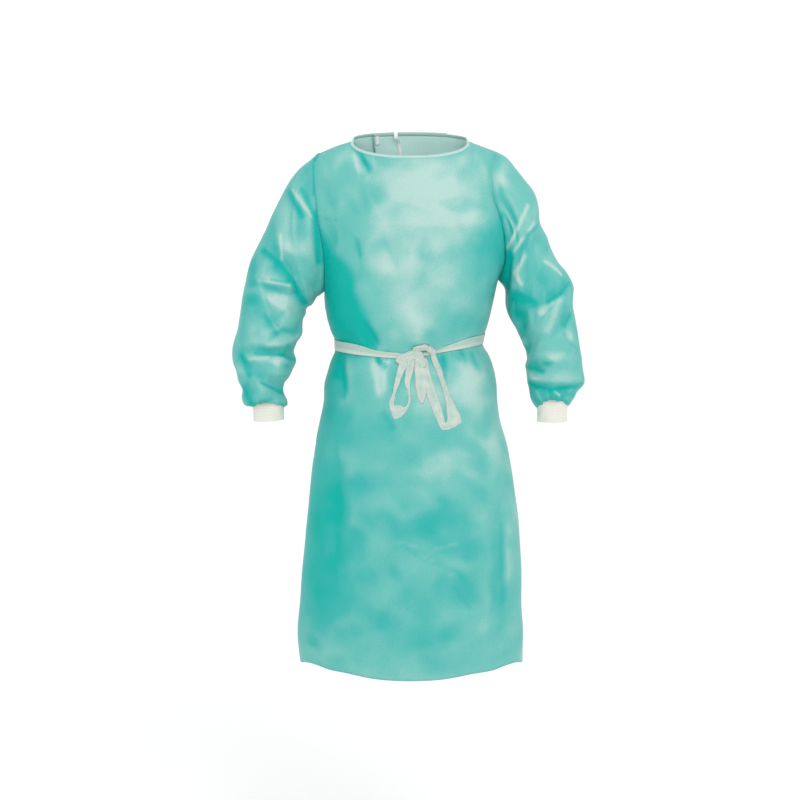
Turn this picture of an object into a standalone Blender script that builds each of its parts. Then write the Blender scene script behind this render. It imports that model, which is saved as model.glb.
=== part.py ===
"""A hospital isolation gown, worn and tied, as hollow cloth walls.

Metres, +Z up. The wearer faces -Y, so the wearer's right is -X.
The origin is the middle of the neck opening, at the height of its two sides.
Each panel is a grid of outer points worked out from sections, with a wall inside it.
"""

import math

import bpy
import numpy as np
from mathutils import Vector
from mathutils.bvhtree import BVHTree

WALL = 0.0015  # cloth of the gown
TAPE = 0.0012  # cloth of the belt, the ties and the binding
SEAM_GAP = 0.0004  # between two pieces that are sewn to each other
LAP_GAP = 0.0060  # from the outer back half to the inner one
LAP_EASE = 3.5  # columns over which that gap opens
SAME_WAY = 0.2  # below this share of the largest, a difference of normals is left out
SHARP_SEAM = 0.35  # least sine of an angle at a seam that the wall follows

FRONT_COLUMNS = 36
BACK_COLUMNS = 28
SHOULDER_COLUMNS = 6  # of each panel, along one shoulder seam
LAP_COLUMNS = 18  # of a back half, from its side seam to its free edge
UPPER_ROWS = 12  # from the armpits to the shoulders
SLEEVE_COLUMNS = 2 * UPPER_ROWS
ROUND_RINGS = 8  # rings over which a sleeve turns as round as its sections
BEND_RINGS = 4  # rings over which it leaves the curve of the armhole

SIDE_NECK = (0.1240, 0.0, -0.0030)  # where a shoulder seam meets the neck edge
SHOULDER_RIGHT = (-0.1973, 0.0, -0.0231)
SHOULDER_LEFT = (0.1830, 0.0, -0.0251)
ARMPIT_RIGHT_Z = -0.3183
ARMPIT_LEFT_Z = -0.2930
NECK_FRONT = (-0.081, -0.0400)  # y and z of the middle of the neck edge
NECK_BACK = (0.074, 0.0150)
NECK_SQUARENESS = 2.3
ARMHOLE_FRONT = 0.070  # how far the armhole reaches forward and back
ARMHOLE_BACK = 0.074
ARMHOLE_ROUNDNESS = 0.85
CHEST_ROLL = 2.4  # how late the chest turns over to the shoulder
NECK_ROLL = 0.90  # share of that turn left at the neck edge
LEAST_REACH = 0.05  # how early a column at the armhole turns in, against one at the neck
CHEST_SPREAD = 0.35  # share of the rows over which the columns spread evenly
SIDE_SPREAD = 0.139  # x of the columns below the side of the neck
CHEST_ARCH = (2.6, 1.25)  # how square the chest is at the armpits, and above them
RELAX_TIMES = 4
RELAX_SHARE = 0.5  # share of the way to its neighbours' mean that a point goes each time
RELAX_BELOW = 1  # rows under the armpits that are evened out with the chest
HEM_DIP = 0.010  # how much lower the front of the hem hangs
HEM_DIP_FROM = -0.70
FINE_STEPS = 241  # points of a line before it is shared out evenly

BINDING_DEPTH = 0.0075
BINDING_BEVEL = 0.0020
BINDING_GAP = 0.0006  # off the edge of the cloth
BINDING_EVEN = 4  # times that its tilt is evened out along the neck
BINDING_RAISE = 0.0006  # how far it stands out from the cloth, on both sides
BELT_LIFT = 0.0003
CUFF_RIB = 0.0005
CUFF_COLUMNS = 36
CUFF_WALL = 0.0018


class Table:
    """Named columns of sizes, read smoothly between their rows."""

    def __init__(self, names, rows):
        values = np.array(rows, float)
        self.names = names.split()
        self.rows = values
        order = np.argsort(values[:, 0])
        self.columns = dict(zip(self.names, values[order].T))

    def at(self, name, key):
        keys, values = self.columns[self.names[0]], self.columns[name]
        slopes = np.gradient(values, keys)
        i = np.clip(np.searchsorted(keys, key) - 1, 0, len(keys) - 2)
        width = keys[i + 1] - keys[i]
        t = np.clip((key - keys[i]) / width, 0, 1)
        return (
            values[i] * (1 + 2 * t) * (1 - t) ** 2
            + slopes[i] * width * t * (1 - t) ** 2
            + values[i + 1] * t * t * (3 - 2 * t)
            - slopes[i + 1] * width * t * t * (1 - t)
        )


BODY = Table(
    "z middle half_width front back squareness",
    [
        (-0.285, 0.0025, 0.1850, 0.1240, 0.1130, 2.60),
        (-0.318, -0.0010, 0.1812, 0.1220, 0.1110, 2.60),
        (-0.335, -0.0012, 0.1804, 0.1210, 0.1100, 2.55),
        (-0.356, -0.0040, 0.1752, 0.1185, 0.1080, 2.50),
        (-0.377, -0.0033, 0.1700, 0.1155, 0.1050, 2.45),
        (-0.398, -0.0033, 0.1638, 0.1115, 0.1010, 2.35),
        (-0.418, -0.0030, 0.1560, 0.1060, 0.0955, 2.25),
        (-0.430, -0.0010, 0.1550, 0.1040, 0.0935, 2.20),
        (-0.441, 0.0015, 0.1598, 0.1055, 0.0945, 2.25),
        (-0.462, 0.0021, 0.1693, 0.1115, 0.1010, 2.35),
        (-0.483, 0.0021, 0.1757, 0.1170, 0.1070, 2.40),
        (-0.505, 0.0010, 0.1811, 0.1210, 0.1110, 2.40),
        (-0.547, 0.0011, 0.1838, 0.1250, 0.1160, 2.40),
        (-0.590, 0.0000, 0.1910, 0.1300, 0.1210, 2.40),
        (-0.632, 0.0021, 0.2017, 0.1350, 0.1260, 2.40),
        (-0.675, 0.0033, 0.2094, 0.1400, 0.1310, 2.40),
        (-0.718, 0.0043, 0.2150, 0.1440, 0.1350, 2.35),
        (-0.804, 0.0054, 0.2249, 0.1510, 0.1420, 2.30),
        (-0.890, 0.0045, 0.2329, 0.1580, 0.1490, 2.25),
        (-0.977, 0.0013, 0.2364, 0.1630, 0.1540, 2.20),
        (-1.020, 0.0013, 0.2405, 0.1660, 0.1570, 2.20),
        (-1.064, 0.0013, 0.2412, 0.1680, 0.1590, 2.20),
        (-1.103, 0.0029, 0.2380, 0.1690, 0.1600, 2.20),
    ],
)

# Heights of the rows of points below the armpits, from the hem up.
LEVELS = (
    -1.103, -1.045, -0.975, -0.905, -0.835, -0.765, -0.700, -0.640, -0.588, -0.545,
    -0.510, -0.484, -0.462, -0.447, -0.432, -0.417, -0.400, -0.378, -0.350,
)  # fmt: skip

ARMHOLE_RIGHT = Table(
    "z x",
    [
        (-0.3183, -0.1815),
        (-0.290, -0.1795),
        (-0.222, -0.1825),
        (-0.192, -0.1880),
        (-0.150, -0.1930),
        (-0.100, -0.1985),
        (-0.064, -0.2005),
        (-0.041, -0.2005),
        (-0.0231, -0.1973),
    ],
)
ARMHOLE_LEFT = Table(
    "z x",
    [
        (-0.2930, 0.1854),
        (-0.255, 0.1970),
        (-0.219, 0.1965),
        (-0.192, 0.1935),
        (-0.157, 0.1850),
        (-0.136, 0.1765),
        (-0.099, 0.1700),
        (-0.074, 0.1690),
        (-0.045, 0.1745),
        (-0.0251, 0.1830),
    ],
)

# Rings of the sleeves, from the armhole down: the outer end and the inner end of each
# ring as the front shows them, how far forward its middle is, and its half depth.
SLEEVE_RIGHT = Table(
    "ring outer_x outer_z inner_x inner_z forward half_depth",
    [
        (1, -0.2224, -0.0503, -0.1862, -0.3224, 0.000, 0.0735),
        (2, -0.2476, -0.0837, -0.1905, -0.3265, 0.001, 0.0740),
        (3, -0.2707, -0.1254, -0.1965, -0.3307, 0.003, 0.0735),
        (4, -0.2938, -0.1672, -0.2025, -0.3369, 0.005, 0.0725),
        (5, -0.3148, -0.2089, -0.2084, -0.3431, 0.008, 0.0710),
        (6, -0.3338, -0.2507, -0.2146, -0.3493, 0.011, 0.0690),
        (7, -0.3444, -0.2968, -0.2208, -0.3560, 0.015, 0.0670),
        (8, -0.3550, -0.3449, -0.2271, -0.3806, 0.019, 0.0655),
        (9, -0.3657, -0.3973, -0.2300, -0.4078, 0.024, 0.0640),
        (10, -0.3732, -0.4434, -0.2440, -0.4413, 0.028, 0.0620),
        (11, -0.3700, -0.4706, -0.2365, -0.4622, 0.031, 0.0600),
        (12, -0.3660, -0.4880, -0.2480, -0.4820, 0.034, 0.0575),
        (13, -0.3625, -0.5050, -0.2600, -0.5020, 0.036, 0.0550),
        (14, -0.3552, -0.5215, -0.2649, -0.5220, 0.038, 0.0520),
        (15, -0.3545, -0.5400, -0.2607, -0.5390, 0.040, 0.0490),
        (16, -0.3470, -0.5530, -0.2605, -0.5490, 0.041, 0.0430),
        (17, -0.3310, -0.5555, -0.2640, -0.5535, 0.042, 0.0300),
    ],
)
SLEEVE_LEFT = Table(
    "ring outer_x outer_z inner_x inner_z forward half_depth",
    [
        (1, 0.1985, -0.0350, 0.1893, -0.2972, 0.000, 0.0720),
        (2, 0.2219, -0.0628, 0.1925, -0.3023, 0.001, 0.0735),
        (3, 0.2386, -0.0837, 0.1960, -0.3075, 0.002, 0.0740),
        (4, 0.2553, -0.1060, 0.1990, -0.3140, 0.004, 0.0740),
        (5, 0.2690, -0.1463, 0.2015, -0.3285, 0.006, 0.0730),
        (6, 0.2760, -0.1770, 0.2040, -0.3480, 0.008, 0.0720),
        (7, 0.2875, -0.2040, 0.2085, -0.3670, 0.011, 0.0705),
        (8, 0.2965, -0.2300, 0.2165, -0.3850, 0.014, 0.0690),
        (9, 0.3121, -0.2601, 0.2269, -0.4030, 0.017, 0.0675),
        (10, 0.3310, -0.2883, 0.2374, -0.4230, 0.020, 0.0660),
        (11, 0.3407, -0.3180, 0.2430, -0.4400, 0.023, 0.0650),
        (12, 0.3430, -0.3550, 0.2420, -0.4570, 0.026, 0.0640),
        (13, 0.3500, -0.3880, 0.2400, -0.4700, 0.029, 0.0630),
        (14, 0.3586, -0.4326, 0.2450, -0.4850, 0.032, 0.0610),
        (15, 0.3637, -0.4682, 0.2466, -0.4990, 0.035, 0.0590),
        (16, 0.3625, -0.4990, 0.2455, -0.5120, 0.037, 0.0560),
        (17, 0.3500, -0.5200, 0.2490, -0.5260, 0.039, 0.0520),
        (18, 0.3440, -0.5380, 0.2540, -0.5400, 0.041, 0.0460),
        (19, 0.3320, -0.5510, 0.2640, -0.5540, 0.042, 0.0310),
    ],
)

# Ends of the cuffs: heights of the outer and inner side, and the half sizes.
CUFF_RIGHT = Table(
    "ring outer_x outer_z inner_x inner_z forward half_depth",
    [
        (0, -0.3310, -0.5560, -0.2640, -0.5540, 0.042, 0.0300),
        (1, -0.3294, -0.5665, -0.2646, -0.5640, 0.0425, 0.0292),
        (2, -0.3288, -0.5770, -0.2646, -0.5738, 0.0435, 0.0290),
        (3, -0.3288, -0.5873, -0.2642, -0.5831, 0.045, 0.0293),
    ],
)
CUFF_LEFT = Table(
    "ring outer_x outer_z inner_x inner_z forward half_depth",
    [
        (0, 0.3320, -0.5515, 0.2640, -0.5545, 0.042, 0.0310),
        (1, 0.3292, -0.5640, 0.2665, -0.5655, 0.0425, 0.0292),
        (2, 0.3290, -0.5760, 0.2668, -0.5765, 0.0435, 0.0288),
        (3, 0.3300, -0.5873, 0.2660, -0.5873, 0.045, 0.0296),
    ],
)

# Creases, as the front or the back shows them: from one point to another.
# side is 1 on the front and -1 on the back, and a depth below 0 is a ridge.
CREASES = Table(
    "from_x from_z to_x to_z width depth side",
    [
        (-0.0985, -0.3700, -0.0660, -0.4240, 0.0110, 0.0050, 1),
        (-0.1440, -0.4520, -0.1350, -0.5230, 0.0110, 0.0050, 1),
        (-0.0720, -0.4560, -0.0590, -0.4900, 0.0090, 0.0030, 1),
        (0.0560, -0.4560, 0.0640, -0.4950, 0.0100, 0.0030, 1),
        (-0.1080, -0.0200, -0.0880, -0.0620, 0.0100, 0.0030, 1),
        (-0.0300, -0.8450, 0.0250, -0.8750, 0.0200, 0.0030, 1),
        (-0.3150, -0.2400, -0.2250, -0.3450, 0.0160, 0.0090, 1),
        (-0.3300, -0.4400, -0.2400, -0.4560, 0.0140, 0.0080, 1),
        (-0.2650, -0.1050, -0.2200, -0.1560, 0.0150, 0.0050, 1),
        (0.3350, -0.3000, 0.2420, -0.3560, 0.0160, 0.0090, 1),
        (0.2400, -0.4750, 0.2750, -0.4800, 0.0140, 0.0060, 1),
        (0.2300, -0.1350, 0.1990, -0.2150, 0.0150, 0.0050, 1),
        (0.2550, -0.5030, 0.3550, -0.5080, 0.0120, 0.0050, 1),
        (-0.3150, -0.2600, -0.2300, -0.3350, 0.0180, 0.0070, -1),
        (-0.3400, -0.4500, -0.2500, -0.4500, 0.0150, 0.0070, -1),
        (0.3200, -0.2900, 0.2400, -0.3700, 0.0180, 0.0070, -1),
        (0.3450, -0.4300, 0.2600, -0.4750, 0.0150, 0.0060, -1),
        (-0.1000, -0.3600, -0.0700, -0.4180, 0.0130, 0.0040, -1),
        (0.0700, -0.3560, 0.0500, -0.4120, 0.0130, 0.0040, -1),
        (-0.0600, -0.4480, -0.0700, -0.5200, 0.0130, 0.0040, -1),
        (0.0900, -0.4420, 0.1050, -0.5100, 0.0130, 0.0040, -1),
    ],
)
CREASE_REACH = 5.0  # a crease ends this many widths from its line
CREASE_TURN = 2.0  # how soon it is at full depth as the cloth turns to its side
CREASE_FADE = 3  # points from a seam to where it is at full depth
GATHER_DEPTH = 0.0016
GATHER_RINGS = ((-2, 1.0), (-3, 0.6))  # rings of a sleeve, and their share of that depth

BELT_FRONT = Table(
    "x z half_width",
    [
        (-0.1600, -0.4285, 0.0110),
        (-0.1080, -0.4353, 0.0104),
        (-0.0730, -0.4420, 0.0066),
        (-0.0315, -0.4460, 0.0055),
        (-0.0050, -0.4469, 0.0050),
        (0.0512, -0.4391, 0.0030),
        (0.0822, -0.4310, 0.0060),
        (0.1235, -0.4209, 0.0100),
        (0.1600, -0.4145, 0.0105),
    ],
)
BELT_BACK = Table(
    "x z half_width",
    [
        (-0.1600, -0.4285, 0.0110),
        (0.0000, -0.4200, 0.0110),
        (0.1600, -0.4145, 0.0105),
    ],
)

# The bow, as the front shows it: the outer and the inner edge of each strip, from the
# knot on, and how far its back lies off the gown.
BOW_LEFT = Table(
    "place outer_x outer_z inner_x inner_z lift",
    [
        (0, 0.0465, -0.4282, 0.0408, -0.4405, 0.0024),
        (1, 0.0547, -0.4498, 0.0424, -0.4539, 0.0024),
        (2, 0.0640, -0.4744, 0.0517, -0.4765, 0.0012),
        (3, 0.0743, -0.5053, 0.0630, -0.5074, 0.0008),
        (4, 0.0867, -0.5363, 0.0713, -0.5383, 0.0008),
        (5, 0.1001, -0.5631, 0.0744, -0.5652, 0.0008),
        (6, 0.1068, -0.5817, 0.0757, -0.5786, 0.0008),
        (7, 0.0920, -0.5920, 0.0745, -0.5817, 0.0008),
        (8, 0.0745, -0.5987, 0.0730, -0.5828, 0.0008),
        (9, 0.0622, -0.5950, 0.0710, -0.5800, 0.0008),
        (10, 0.0529, -0.5734, 0.0683, -0.5672, 0.0008),
        (11, 0.0436, -0.5528, 0.0610, -0.5466, 0.0007),
        (12, 0.0353, -0.5301, 0.0538, -0.5239, 0.0006),
        (13, 0.0301, -0.5053, 0.0476, -0.5033, 0.0005),
        (14, 0.0270, -0.4806, 0.0404, -0.4806, 0.0005),
        (15, 0.0250, -0.4590, 0.0363, -0.4580, 0.0005),
    ],
)
BOW_RIGHT = Table(
    "place outer_x outer_z inner_x inner_z lift",
    [
        (0, -0.0233, -0.4560, -0.0085, -0.4570, 0.0010),
        (1, -0.0243, -0.4642, -0.0126, -0.4703, 0.0008),
        (2, -0.0290, -0.4847, -0.0140, -0.4827, 0.0006),
        (3, -0.0335, -0.5053, -0.0243, -0.5074, 0.0006),
        (4, -0.0372, -0.5239, -0.0304, -0.5259, 0.0006),
        (5, -0.0438, -0.5404, -0.0335, -0.5445, 0.0006),
        (6, -0.0397, -0.5610, -0.0284, -0.5466, 0.0008),
        (7, -0.0309, -0.5759, -0.0202, -0.5470, 0.0010),
        (8, -0.0130, -0.5652, -0.0119, -0.5500, 0.0008),
        (9, -0.0027, -0.5507, -0.0072, -0.5448, 0.0006),
        (10, 0.0010, -0.5363, -0.0043, -0.5352, 0.0006),
        (11, 0.0004, -0.5259, -0.0052, -0.5218, 0.0006),
        (12, -0.0007, -0.5115, -0.0099, -0.5074, 0.0006),
        (13, 0.0014, -0.4950, -0.0120, -0.4940, 0.0006),
        (14, 0.0034, -0.4786, -0.0085, -0.4775, 0.0006),
        (15, 0.0055, -0.4590, -0.0058, -0.4601, 0.0006),
    ],
)
BOW_TAIL = Table(
    "place outer_x outer_z inner_x inner_z lift",
    [
        (0, 0.0096, -0.4560, 0.0229, -0.4560, 0.0024),
        (1, 0.0086, -0.4744, 0.0301, -0.4724, 0.0024),
        (2, 0.0096, -0.4930, 0.0332, -0.4889, 0.0024),
        (3, 0.0106, -0.5136, 0.0343, -0.5095, 0.0024),
        (4, 0.0148, -0.5321, 0.0322, -0.5259, 0.0024),
        (5, 0.0209, -0.5435, 0.0271, -0.5404, 0.0024),
    ],
)
BOW_ACROSS = 4
KNOT_MIDDLE = (0.0168, -0.4380)
KNOT_HALF = (0.0212, 0.0165)
KNOT_LIFT = 0.0024
KNOT_THICK = (0.0025, 0.0080)  # at its edge and in its middle
KNOT_CELLS = 6
ROUND_CORNER = 0.36  # how far the corners of a knot's grid are drawn in

TIE_WIDTH = 0.0085
TIE_SHORT = Table("z lift", [(0.0080, 0.0005), (-0.0020, 0.0012), (-0.0120, 0.0005)])
TIE_INSET = 0.0070  # from the free edge of the cloth to the middle of the short tie
TIE_LONG_X = (-0.0300, -0.0080)  # at the neck edge and at its free end
TIE_LONG_DOWN = 0.230
TIE_LONG_ROWS = 10
TIE_LONG_OUTSIDE = 0.0180
TIE_CLEAR = 0.0018  # off the cloth and the binding
TIE_NEAR = 0.014  # half the stretch of binding that the long tie is kept clear of
TIE_PROBES = (0.006, 0.010, 0.014)  # below the neck edge, where the cloth is looked for
TIE_KNOT_CELLS = 4
TIE_KNOT_HALF = (0.0080, 0.0060)
TIE_KNOT_THICK = (0.0020, 0.0045)

# Looks: a colour and a roughness.
TEAL = ("#58BDB3", 0.55)
KNIT = ("#E8E5DC", 0.85)
TAPE_WHITE = ("#C6D9D1", 0.6)
BINDING_WHITE = ("#C2E0D8", 0.6)


def linear_colour(code):
    """A hex colour as the linear values that a shader takes."""
    values = [int(code[i : i + 2], 16) / 255 for i in (1, 3, 5)]
    return [v / 12.92 if v <= 0.04045 else ((v + 0.055) / 1.055) ** 2.4 for v in values] + [1.0]


def cloth_material(name, look):
    colour, roughness = look
    material = bpy.data.materials.new(name)
    material.use_nodes = True
    shader = material.node_tree.nodes["Principled BSDF"]
    shader.inputs["Base Color"].default_value = linear_colour(colour)
    shader.inputs["Roughness"].default_value = roughness
    shader.inputs["Metallic"].default_value = 0.0
    material.diffuse_color = linear_colour(colour)
    return material


def unit(vectors):
    lengths = np.linalg.norm(vectors, axis=-1, keepdims=True)
    return vectors / np.maximum(lengths, 1e-12)


def grid_normals(points, closed):
    """Outward normals of a grid whose columns turn from -X by the front to +X."""
    if closed:
        along = np.roll(points, -1, 1) - np.roll(points, 1, 1)
    else:
        along = np.gradient(points, axis=1)
    normals = unit(np.cross(along, np.gradient(points, axis=0)))
    if closed:
        from_middle = points - points.mean(axis=1, keepdims=True)
        if np.sum(normals * from_middle) < 0:
            normals = -normals
    return normals


def wall_object(name, outer, inner, closed, look, collection):
    """One closed wall between a grid of outer points and the grid of its inner points."""
    rows, columns = outer.shape[:2]
    count = rows * columns
    spans = columns if closed else columns - 1
    faces = []

    def at(i, j, side):
        return side * count + i * columns + j % columns

    for i in range(rows - 1):
        for j in range(spans):
            faces.append((at(i, j, 0), at(i, j + 1, 0), at(i + 1, j + 1, 0), at(i + 1, j, 0)))
            faces.append((at(i, j, 1), at(i + 1, j, 1), at(i + 1, j + 1, 1), at(i, j + 1, 1)))
    for j in range(spans):
        last = rows - 1
        faces.append((at(0, j, 1), at(0, j + 1, 1), at(0, j + 1, 0), at(0, j, 0)))
        faces.append((at(last, j, 0), at(last, j + 1, 0), at(last, j + 1, 1), at(last, j, 1)))
    if not closed:
        for i in range(rows - 1):
            last = columns - 1
            faces.append((at(i, 0, 0), at(i + 1, 0, 0), at(i + 1, 0, 1), at(i, 0, 1)))
            faces.append((at(i, last, 1), at(i + 1, last, 1), at(i + 1, last, 0), at(i, last, 0)))
    points = np.concatenate([outer.reshape(-1, 3), inner.reshape(-1, 3)])
    mesh = bpy.data.meshes.new(name)
    mesh.from_pydata(points.tolist(), [], faces)
    if signed_volume(mesh) < 0:
        mesh.flip_normals()
    mesh.validate()
    mesh.shade_smooth()
    mesh.materials.append(cloth_material(name, look))
    made = bpy.data.objects.new(name, mesh)
    collection.objects.link(made)
    return made


def signed_volume(mesh):
    mesh.calc_loop_triangles()
    total = 0.0
    for triangle in mesh.loop_triangles:
        a, b, c = (mesh.vertices[i].co for i in triangle.vertices)
        total += a.dot(b.cross(c)) / 6
    return total


def body_point(z, angle):
    """A point of the body: the angle turns from -X by the front to +X and on by the back."""
    depth = np.where(np.sin(angle) >= 0, BODY.at("front", z), BODY.at("back", z))
    power = BODY.at("squareness", z)
    across = np.abs(np.cos(angle)) / BODY.at("half_width", z)
    forward = np.abs(np.sin(angle)) / depth
    radius = (across**power + forward**power) ** (-1 / power)
    x = BODY.at("middle", z) - radius * np.cos(angle)
    return np.stack([x, -radius * np.sin(angle), z + 0 * angle], -1)


def even_angles(z, first, last, columns):
    """Angles that share out a section's length evenly."""
    fine = np.linspace(first, last, FINE_STEPS)
    line = body_point(np.full(FINE_STEPS, z), fine)
    run = np.concatenate([[0], np.cumsum(np.linalg.norm(np.diff(line, axis=0), axis=1))])
    return np.interp(np.linspace(0, run[-1], columns + 1), run, fine)


def neck_edge(middle, columns):
    """The neck edge from -X to +X by the front or by the back, evenly spaced."""
    reach, rise = middle
    fine = np.linspace(0, math.pi, FINE_STEPS)
    flat = np.abs(np.sin(fine)) ** (2 / NECK_SQUARENESS)
    across = -np.sign(np.cos(fine)) * np.abs(np.cos(fine)) ** (2 / NECK_SQUARENESS)
    rise = rise - SIDE_NECK[2]
    line = np.stack([SIDE_NECK[0] * across, reach * flat, SIDE_NECK[2] + rise * flat], -1)
    run = np.concatenate([[0], np.cumsum(np.linalg.norm(np.diff(line, axis=0), axis=1))])
    even = np.linspace(0, run[-1], columns + 1)
    return np.stack([np.interp(even, run, line[:, k]) for k in range(3)], -1)


def top_edge(middle, columns):
    """Shoulder seam, neck edge and shoulder seam of a panel, from -X to +X."""
    neck = neck_edge(middle, columns - 2 * SHOULDER_COLUMNS)
    steps = np.linspace(0, 1, SHOULDER_COLUMNS + 1)[:-1, None]
    right = np.array(SHOULDER_RIGHT) * (1 - steps) + neck[0] * steps
    left = np.array(SHOULDER_LEFT) * (1 - steps) + neck[-1] * steps
    return np.concatenate([right, neck, left[::-1]])


def armhole_edge(table, bulge):
    """One edge of an armhole, from the armpit up to the shoulder."""
    share = np.linspace(0, 1, UPPER_ROWS + 1)
    low, high = table.rows[0, 0], table.rows[-1, 0]
    z = low + (high - low) * (1 - np.cos(math.pi * share)) / 2
    y = bulge * np.abs(np.sin(math.pi * share)) ** ARMHOLE_ROUNDNESS
    return np.stack([table.at("x", z), y, z], -1)


def panel_grid(first, last, columns, neck_middle, bulge):
    """Outer points of the whole front or the whole back, rows from the hem up."""
    across = np.linspace(0, 1, columns + 1)
    if first > 0:
        across = across[::-1]  # the back's columns run from +X to -X
    armpit_z = ARMPIT_RIGHT_Z + (ARMPIT_LEFT_Z - ARMPIT_RIGHT_Z) * across
    rows = []
    for level in LEVELS:
        angles = even_angles(level, first, last, columns)
        share = np.clip((HEM_DIP_FROM - level) / (HEM_DIP_FROM - LEVELS[0]), 0, 1)
        dip = HEM_DIP * share * np.clip(np.sin(angles), 0, 1) ** 2
        rows.append(body_point(level - dip, angles))
    base = body_point(armpit_z, even_angles(armpit_z.mean(), first, last, columns))
    top = top_edge(neck_middle, columns)
    ends = armhole_edge(ARMHOLE_RIGHT, bulge), armhole_edge(ARMHOLE_LEFT, bulge)
    if first > 0:
        top, ends = top[::-1], ends[::-1]
    depth = math.copysign(1, bulge) * BODY.at("front" if bulge < 0 else "back", armpit_z)
    return relaxed(np.array(rows + upper_rows(base, top, ends, depth)))


def relaxed(grid):
    """Evens out the cloth above the waist, between its own edges."""
    first = len(LEVELS) - RELAX_BELOW
    for _ in range(RELAX_TIMES):
        mean = (grid[:-2, 1:-1] + grid[2:, 1:-1] + grid[1:-1, :-2] + grid[1:-1, 2:]) / 4
        grid[first:-1, 1:-1] += RELAX_SHARE * (mean[first - 1 :] - grid[first:-1, 1:-1])
    return grid


def ease(share):
    share = np.clip(share, 0, 1)
    return share * share * (3 - 2 * share)


def upper_rows(base, top, ends, depth):
    """Rows from the armpits up to the shoulder seams and the neck edge: the columns
    spread from the section's own places to even ones, and then turn over to the top."""
    count = len(base) - 1
    seams = [0, SHOULDER_COLUMNS, count - SHOULDER_COLUMNS, count]
    inward = np.minimum(np.arange(count + 1), count - np.arange(count + 1)) / SHOULDER_COLUMNS
    start_share = (base[:, 0] - base[0, 0]) / (base[-1, 0] - base[0, 0])
    roll = 1 - (1 - NECK_ROLL) * ease(inward - 1)
    reach = np.maximum(ease(inward), LEAST_REACH)
    rows = []
    for i in range(UPPER_ROWS + 1):
        up = (1 - math.cos(math.pi * i / UPPER_ROWS)) / 2
        turn = (1 - (1 - (up * roll) ** CHEST_ROLL) ** (1 / CHEST_ROLL)) / (
            1 - (1 - roll**CHEST_ROLL) ** (1 / CHEST_ROLL)
        )
        spread = ease(i / UPPER_ROWS / CHEST_SPREAD)
        start, end = ends[0][i], ends[1][i]
        side = math.copysign(SIDE_SPREAD, start[0])
        even = np.interp(np.arange(count + 1), seams, [start[0], side, -side, end[0]])
        share = start_share + ((even - start[0]) / (end[0] - start[0]) - start_share) * spread
        power = CHEST_ARCH[0] + (CHEST_ARCH[1] - CHEST_ARCH[0]) * spread
        arch = (1 - np.abs(2 * share - 1) ** CHEST_ARCH[0]) ** (1 / power)
        late = turn ** (1 / reach)
        arch = arch + (1 - arch) * late
        x = (start[0] + (end[0] - start[0]) * share) * (1 - late) + top[:, 0] * late
        y = start[1] * (1 - arch) + (depth * (1 - turn) + top[:, 1] * turn) * arch
        row = np.stack([x, y, base[:, 2] + (top[:, 2] - base[:, 2]) * up], -1)
        row[0], row[-1] = start, end
        rows.append(row)
    return rows


def sleeve_grid(table, armhole_table):
    """Outer points of a sleeve, rings from the armhole down to the cuff."""
    front = armhole_edge(armhole_table, -ARMHOLE_FRONT)
    back = armhole_edge(armhole_table, ARMHOLE_BACK)
    first = np.concatenate([front[::-1], back[1:-1]])
    turn = 2 * math.pi * np.arange(SLEEVE_COLUMNS) / SLEEVE_COLUMNS
    straight = ring_points(front[-1], front[0], 0.0, 0.0, turn, 1.0)
    bend = first - straight
    bend[:, 1:] = 0
    rings = [first]
    for ring, row in enumerate(table.rows):
        outer, inner = (row[1], 0, row[2]), (row[3], 0, row[4])
        roundness = ARMHOLE_ROUNDNESS + (1 - ARMHOLE_ROUNDNESS) * min(1, ring / ROUND_RINGS)
        points = ring_points(outer, inner, row[5], row[6], turn, roundness)
        rings.append(points + bend * max(0.0, 1 - (ring + 1) / BEND_RINGS))
    return gather(np.array(rings))


def ring_points(outer, inner, forward, half_depth, turn, roundness):
    """A ring from its outer end by the front to its inner end and back."""
    outer, inner = np.array(outer, float), np.array(inner, float)
    middle = (outer + inner) / 2 - np.array([0, forward, 0])
    reach = np.sign(np.sin(turn)) * np.abs(np.sin(turn)) ** roundness
    return (
        middle
        + np.cos(turn)[:, None] * (outer - inner) / 2
        - reach[:, None] * np.array([0, half_depth, 0])
    )


def gather(rings):
    """Small gathers above the cuff: every second point goes in, every other one out."""
    way = np.where(np.arange(rings.shape[1]) % 2 == 0, 1.0, -1.0)[:, None]
    for ring, share in GATHER_RINGS:
        middle = rings[ring].mean(axis=0)
        rings[ring] += way * GATHER_DEPTH * share * unit(rings[ring] - middle)
    return rings


def crease(points, normals, fade):
    """Moves points in or out along the creases of the table."""
    moved = np.zeros(points.shape[:2])
    flat = points[..., [0, 2]]
    for x0, z0, x1, z1, width, depth, side in CREASES.rows:
        start, run = np.array([x0, z0]), np.array([x1 - x0, z1 - z0])
        along = ((flat - start) @ run) / (run @ run)
        away = np.linalg.norm(flat - start - np.clip(along, 0, 1)[..., None] * run, axis=-1)
        near = np.exp(-((away / width) ** 2)) * (away < CREASE_REACH * width)
        faces_it = np.clip(-normals[..., 1] * side * CREASE_TURN, 0, 1)
        moved += depth * near * faces_it
    return points - normals * (moved * fade)[..., None]


def fade_edges(shape, closed):
    """0 at the seams of a grid and 1 a few points inside it; a panel's hem is free."""
    rows, columns = shape
    i, j = np.arange(rows), np.arange(columns)
    if closed:
        down = np.clip(np.minimum(i, rows - 1 - i) / CREASE_FADE, 0, 1)
        return down[:, None] * np.ones(columns)
    down = np.clip((rows - 1 - i) / CREASE_FADE, 0, 1)
    return down[:, None] * np.clip(np.minimum(j, columns - 1 - j) / CREASE_FADE, 0, 1)


def lap_inside(grid):
    """Moves the inner back half in from the outer one, from the shoulder seam on."""
    columns = grid.shape[1]
    share = ease((np.arange(columns) - SHOULDER_COLUMNS) / LAP_EASE)
    return grid - grid_normals(grid, False) * (LAP_GAP * share)[None, :, None]


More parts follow.
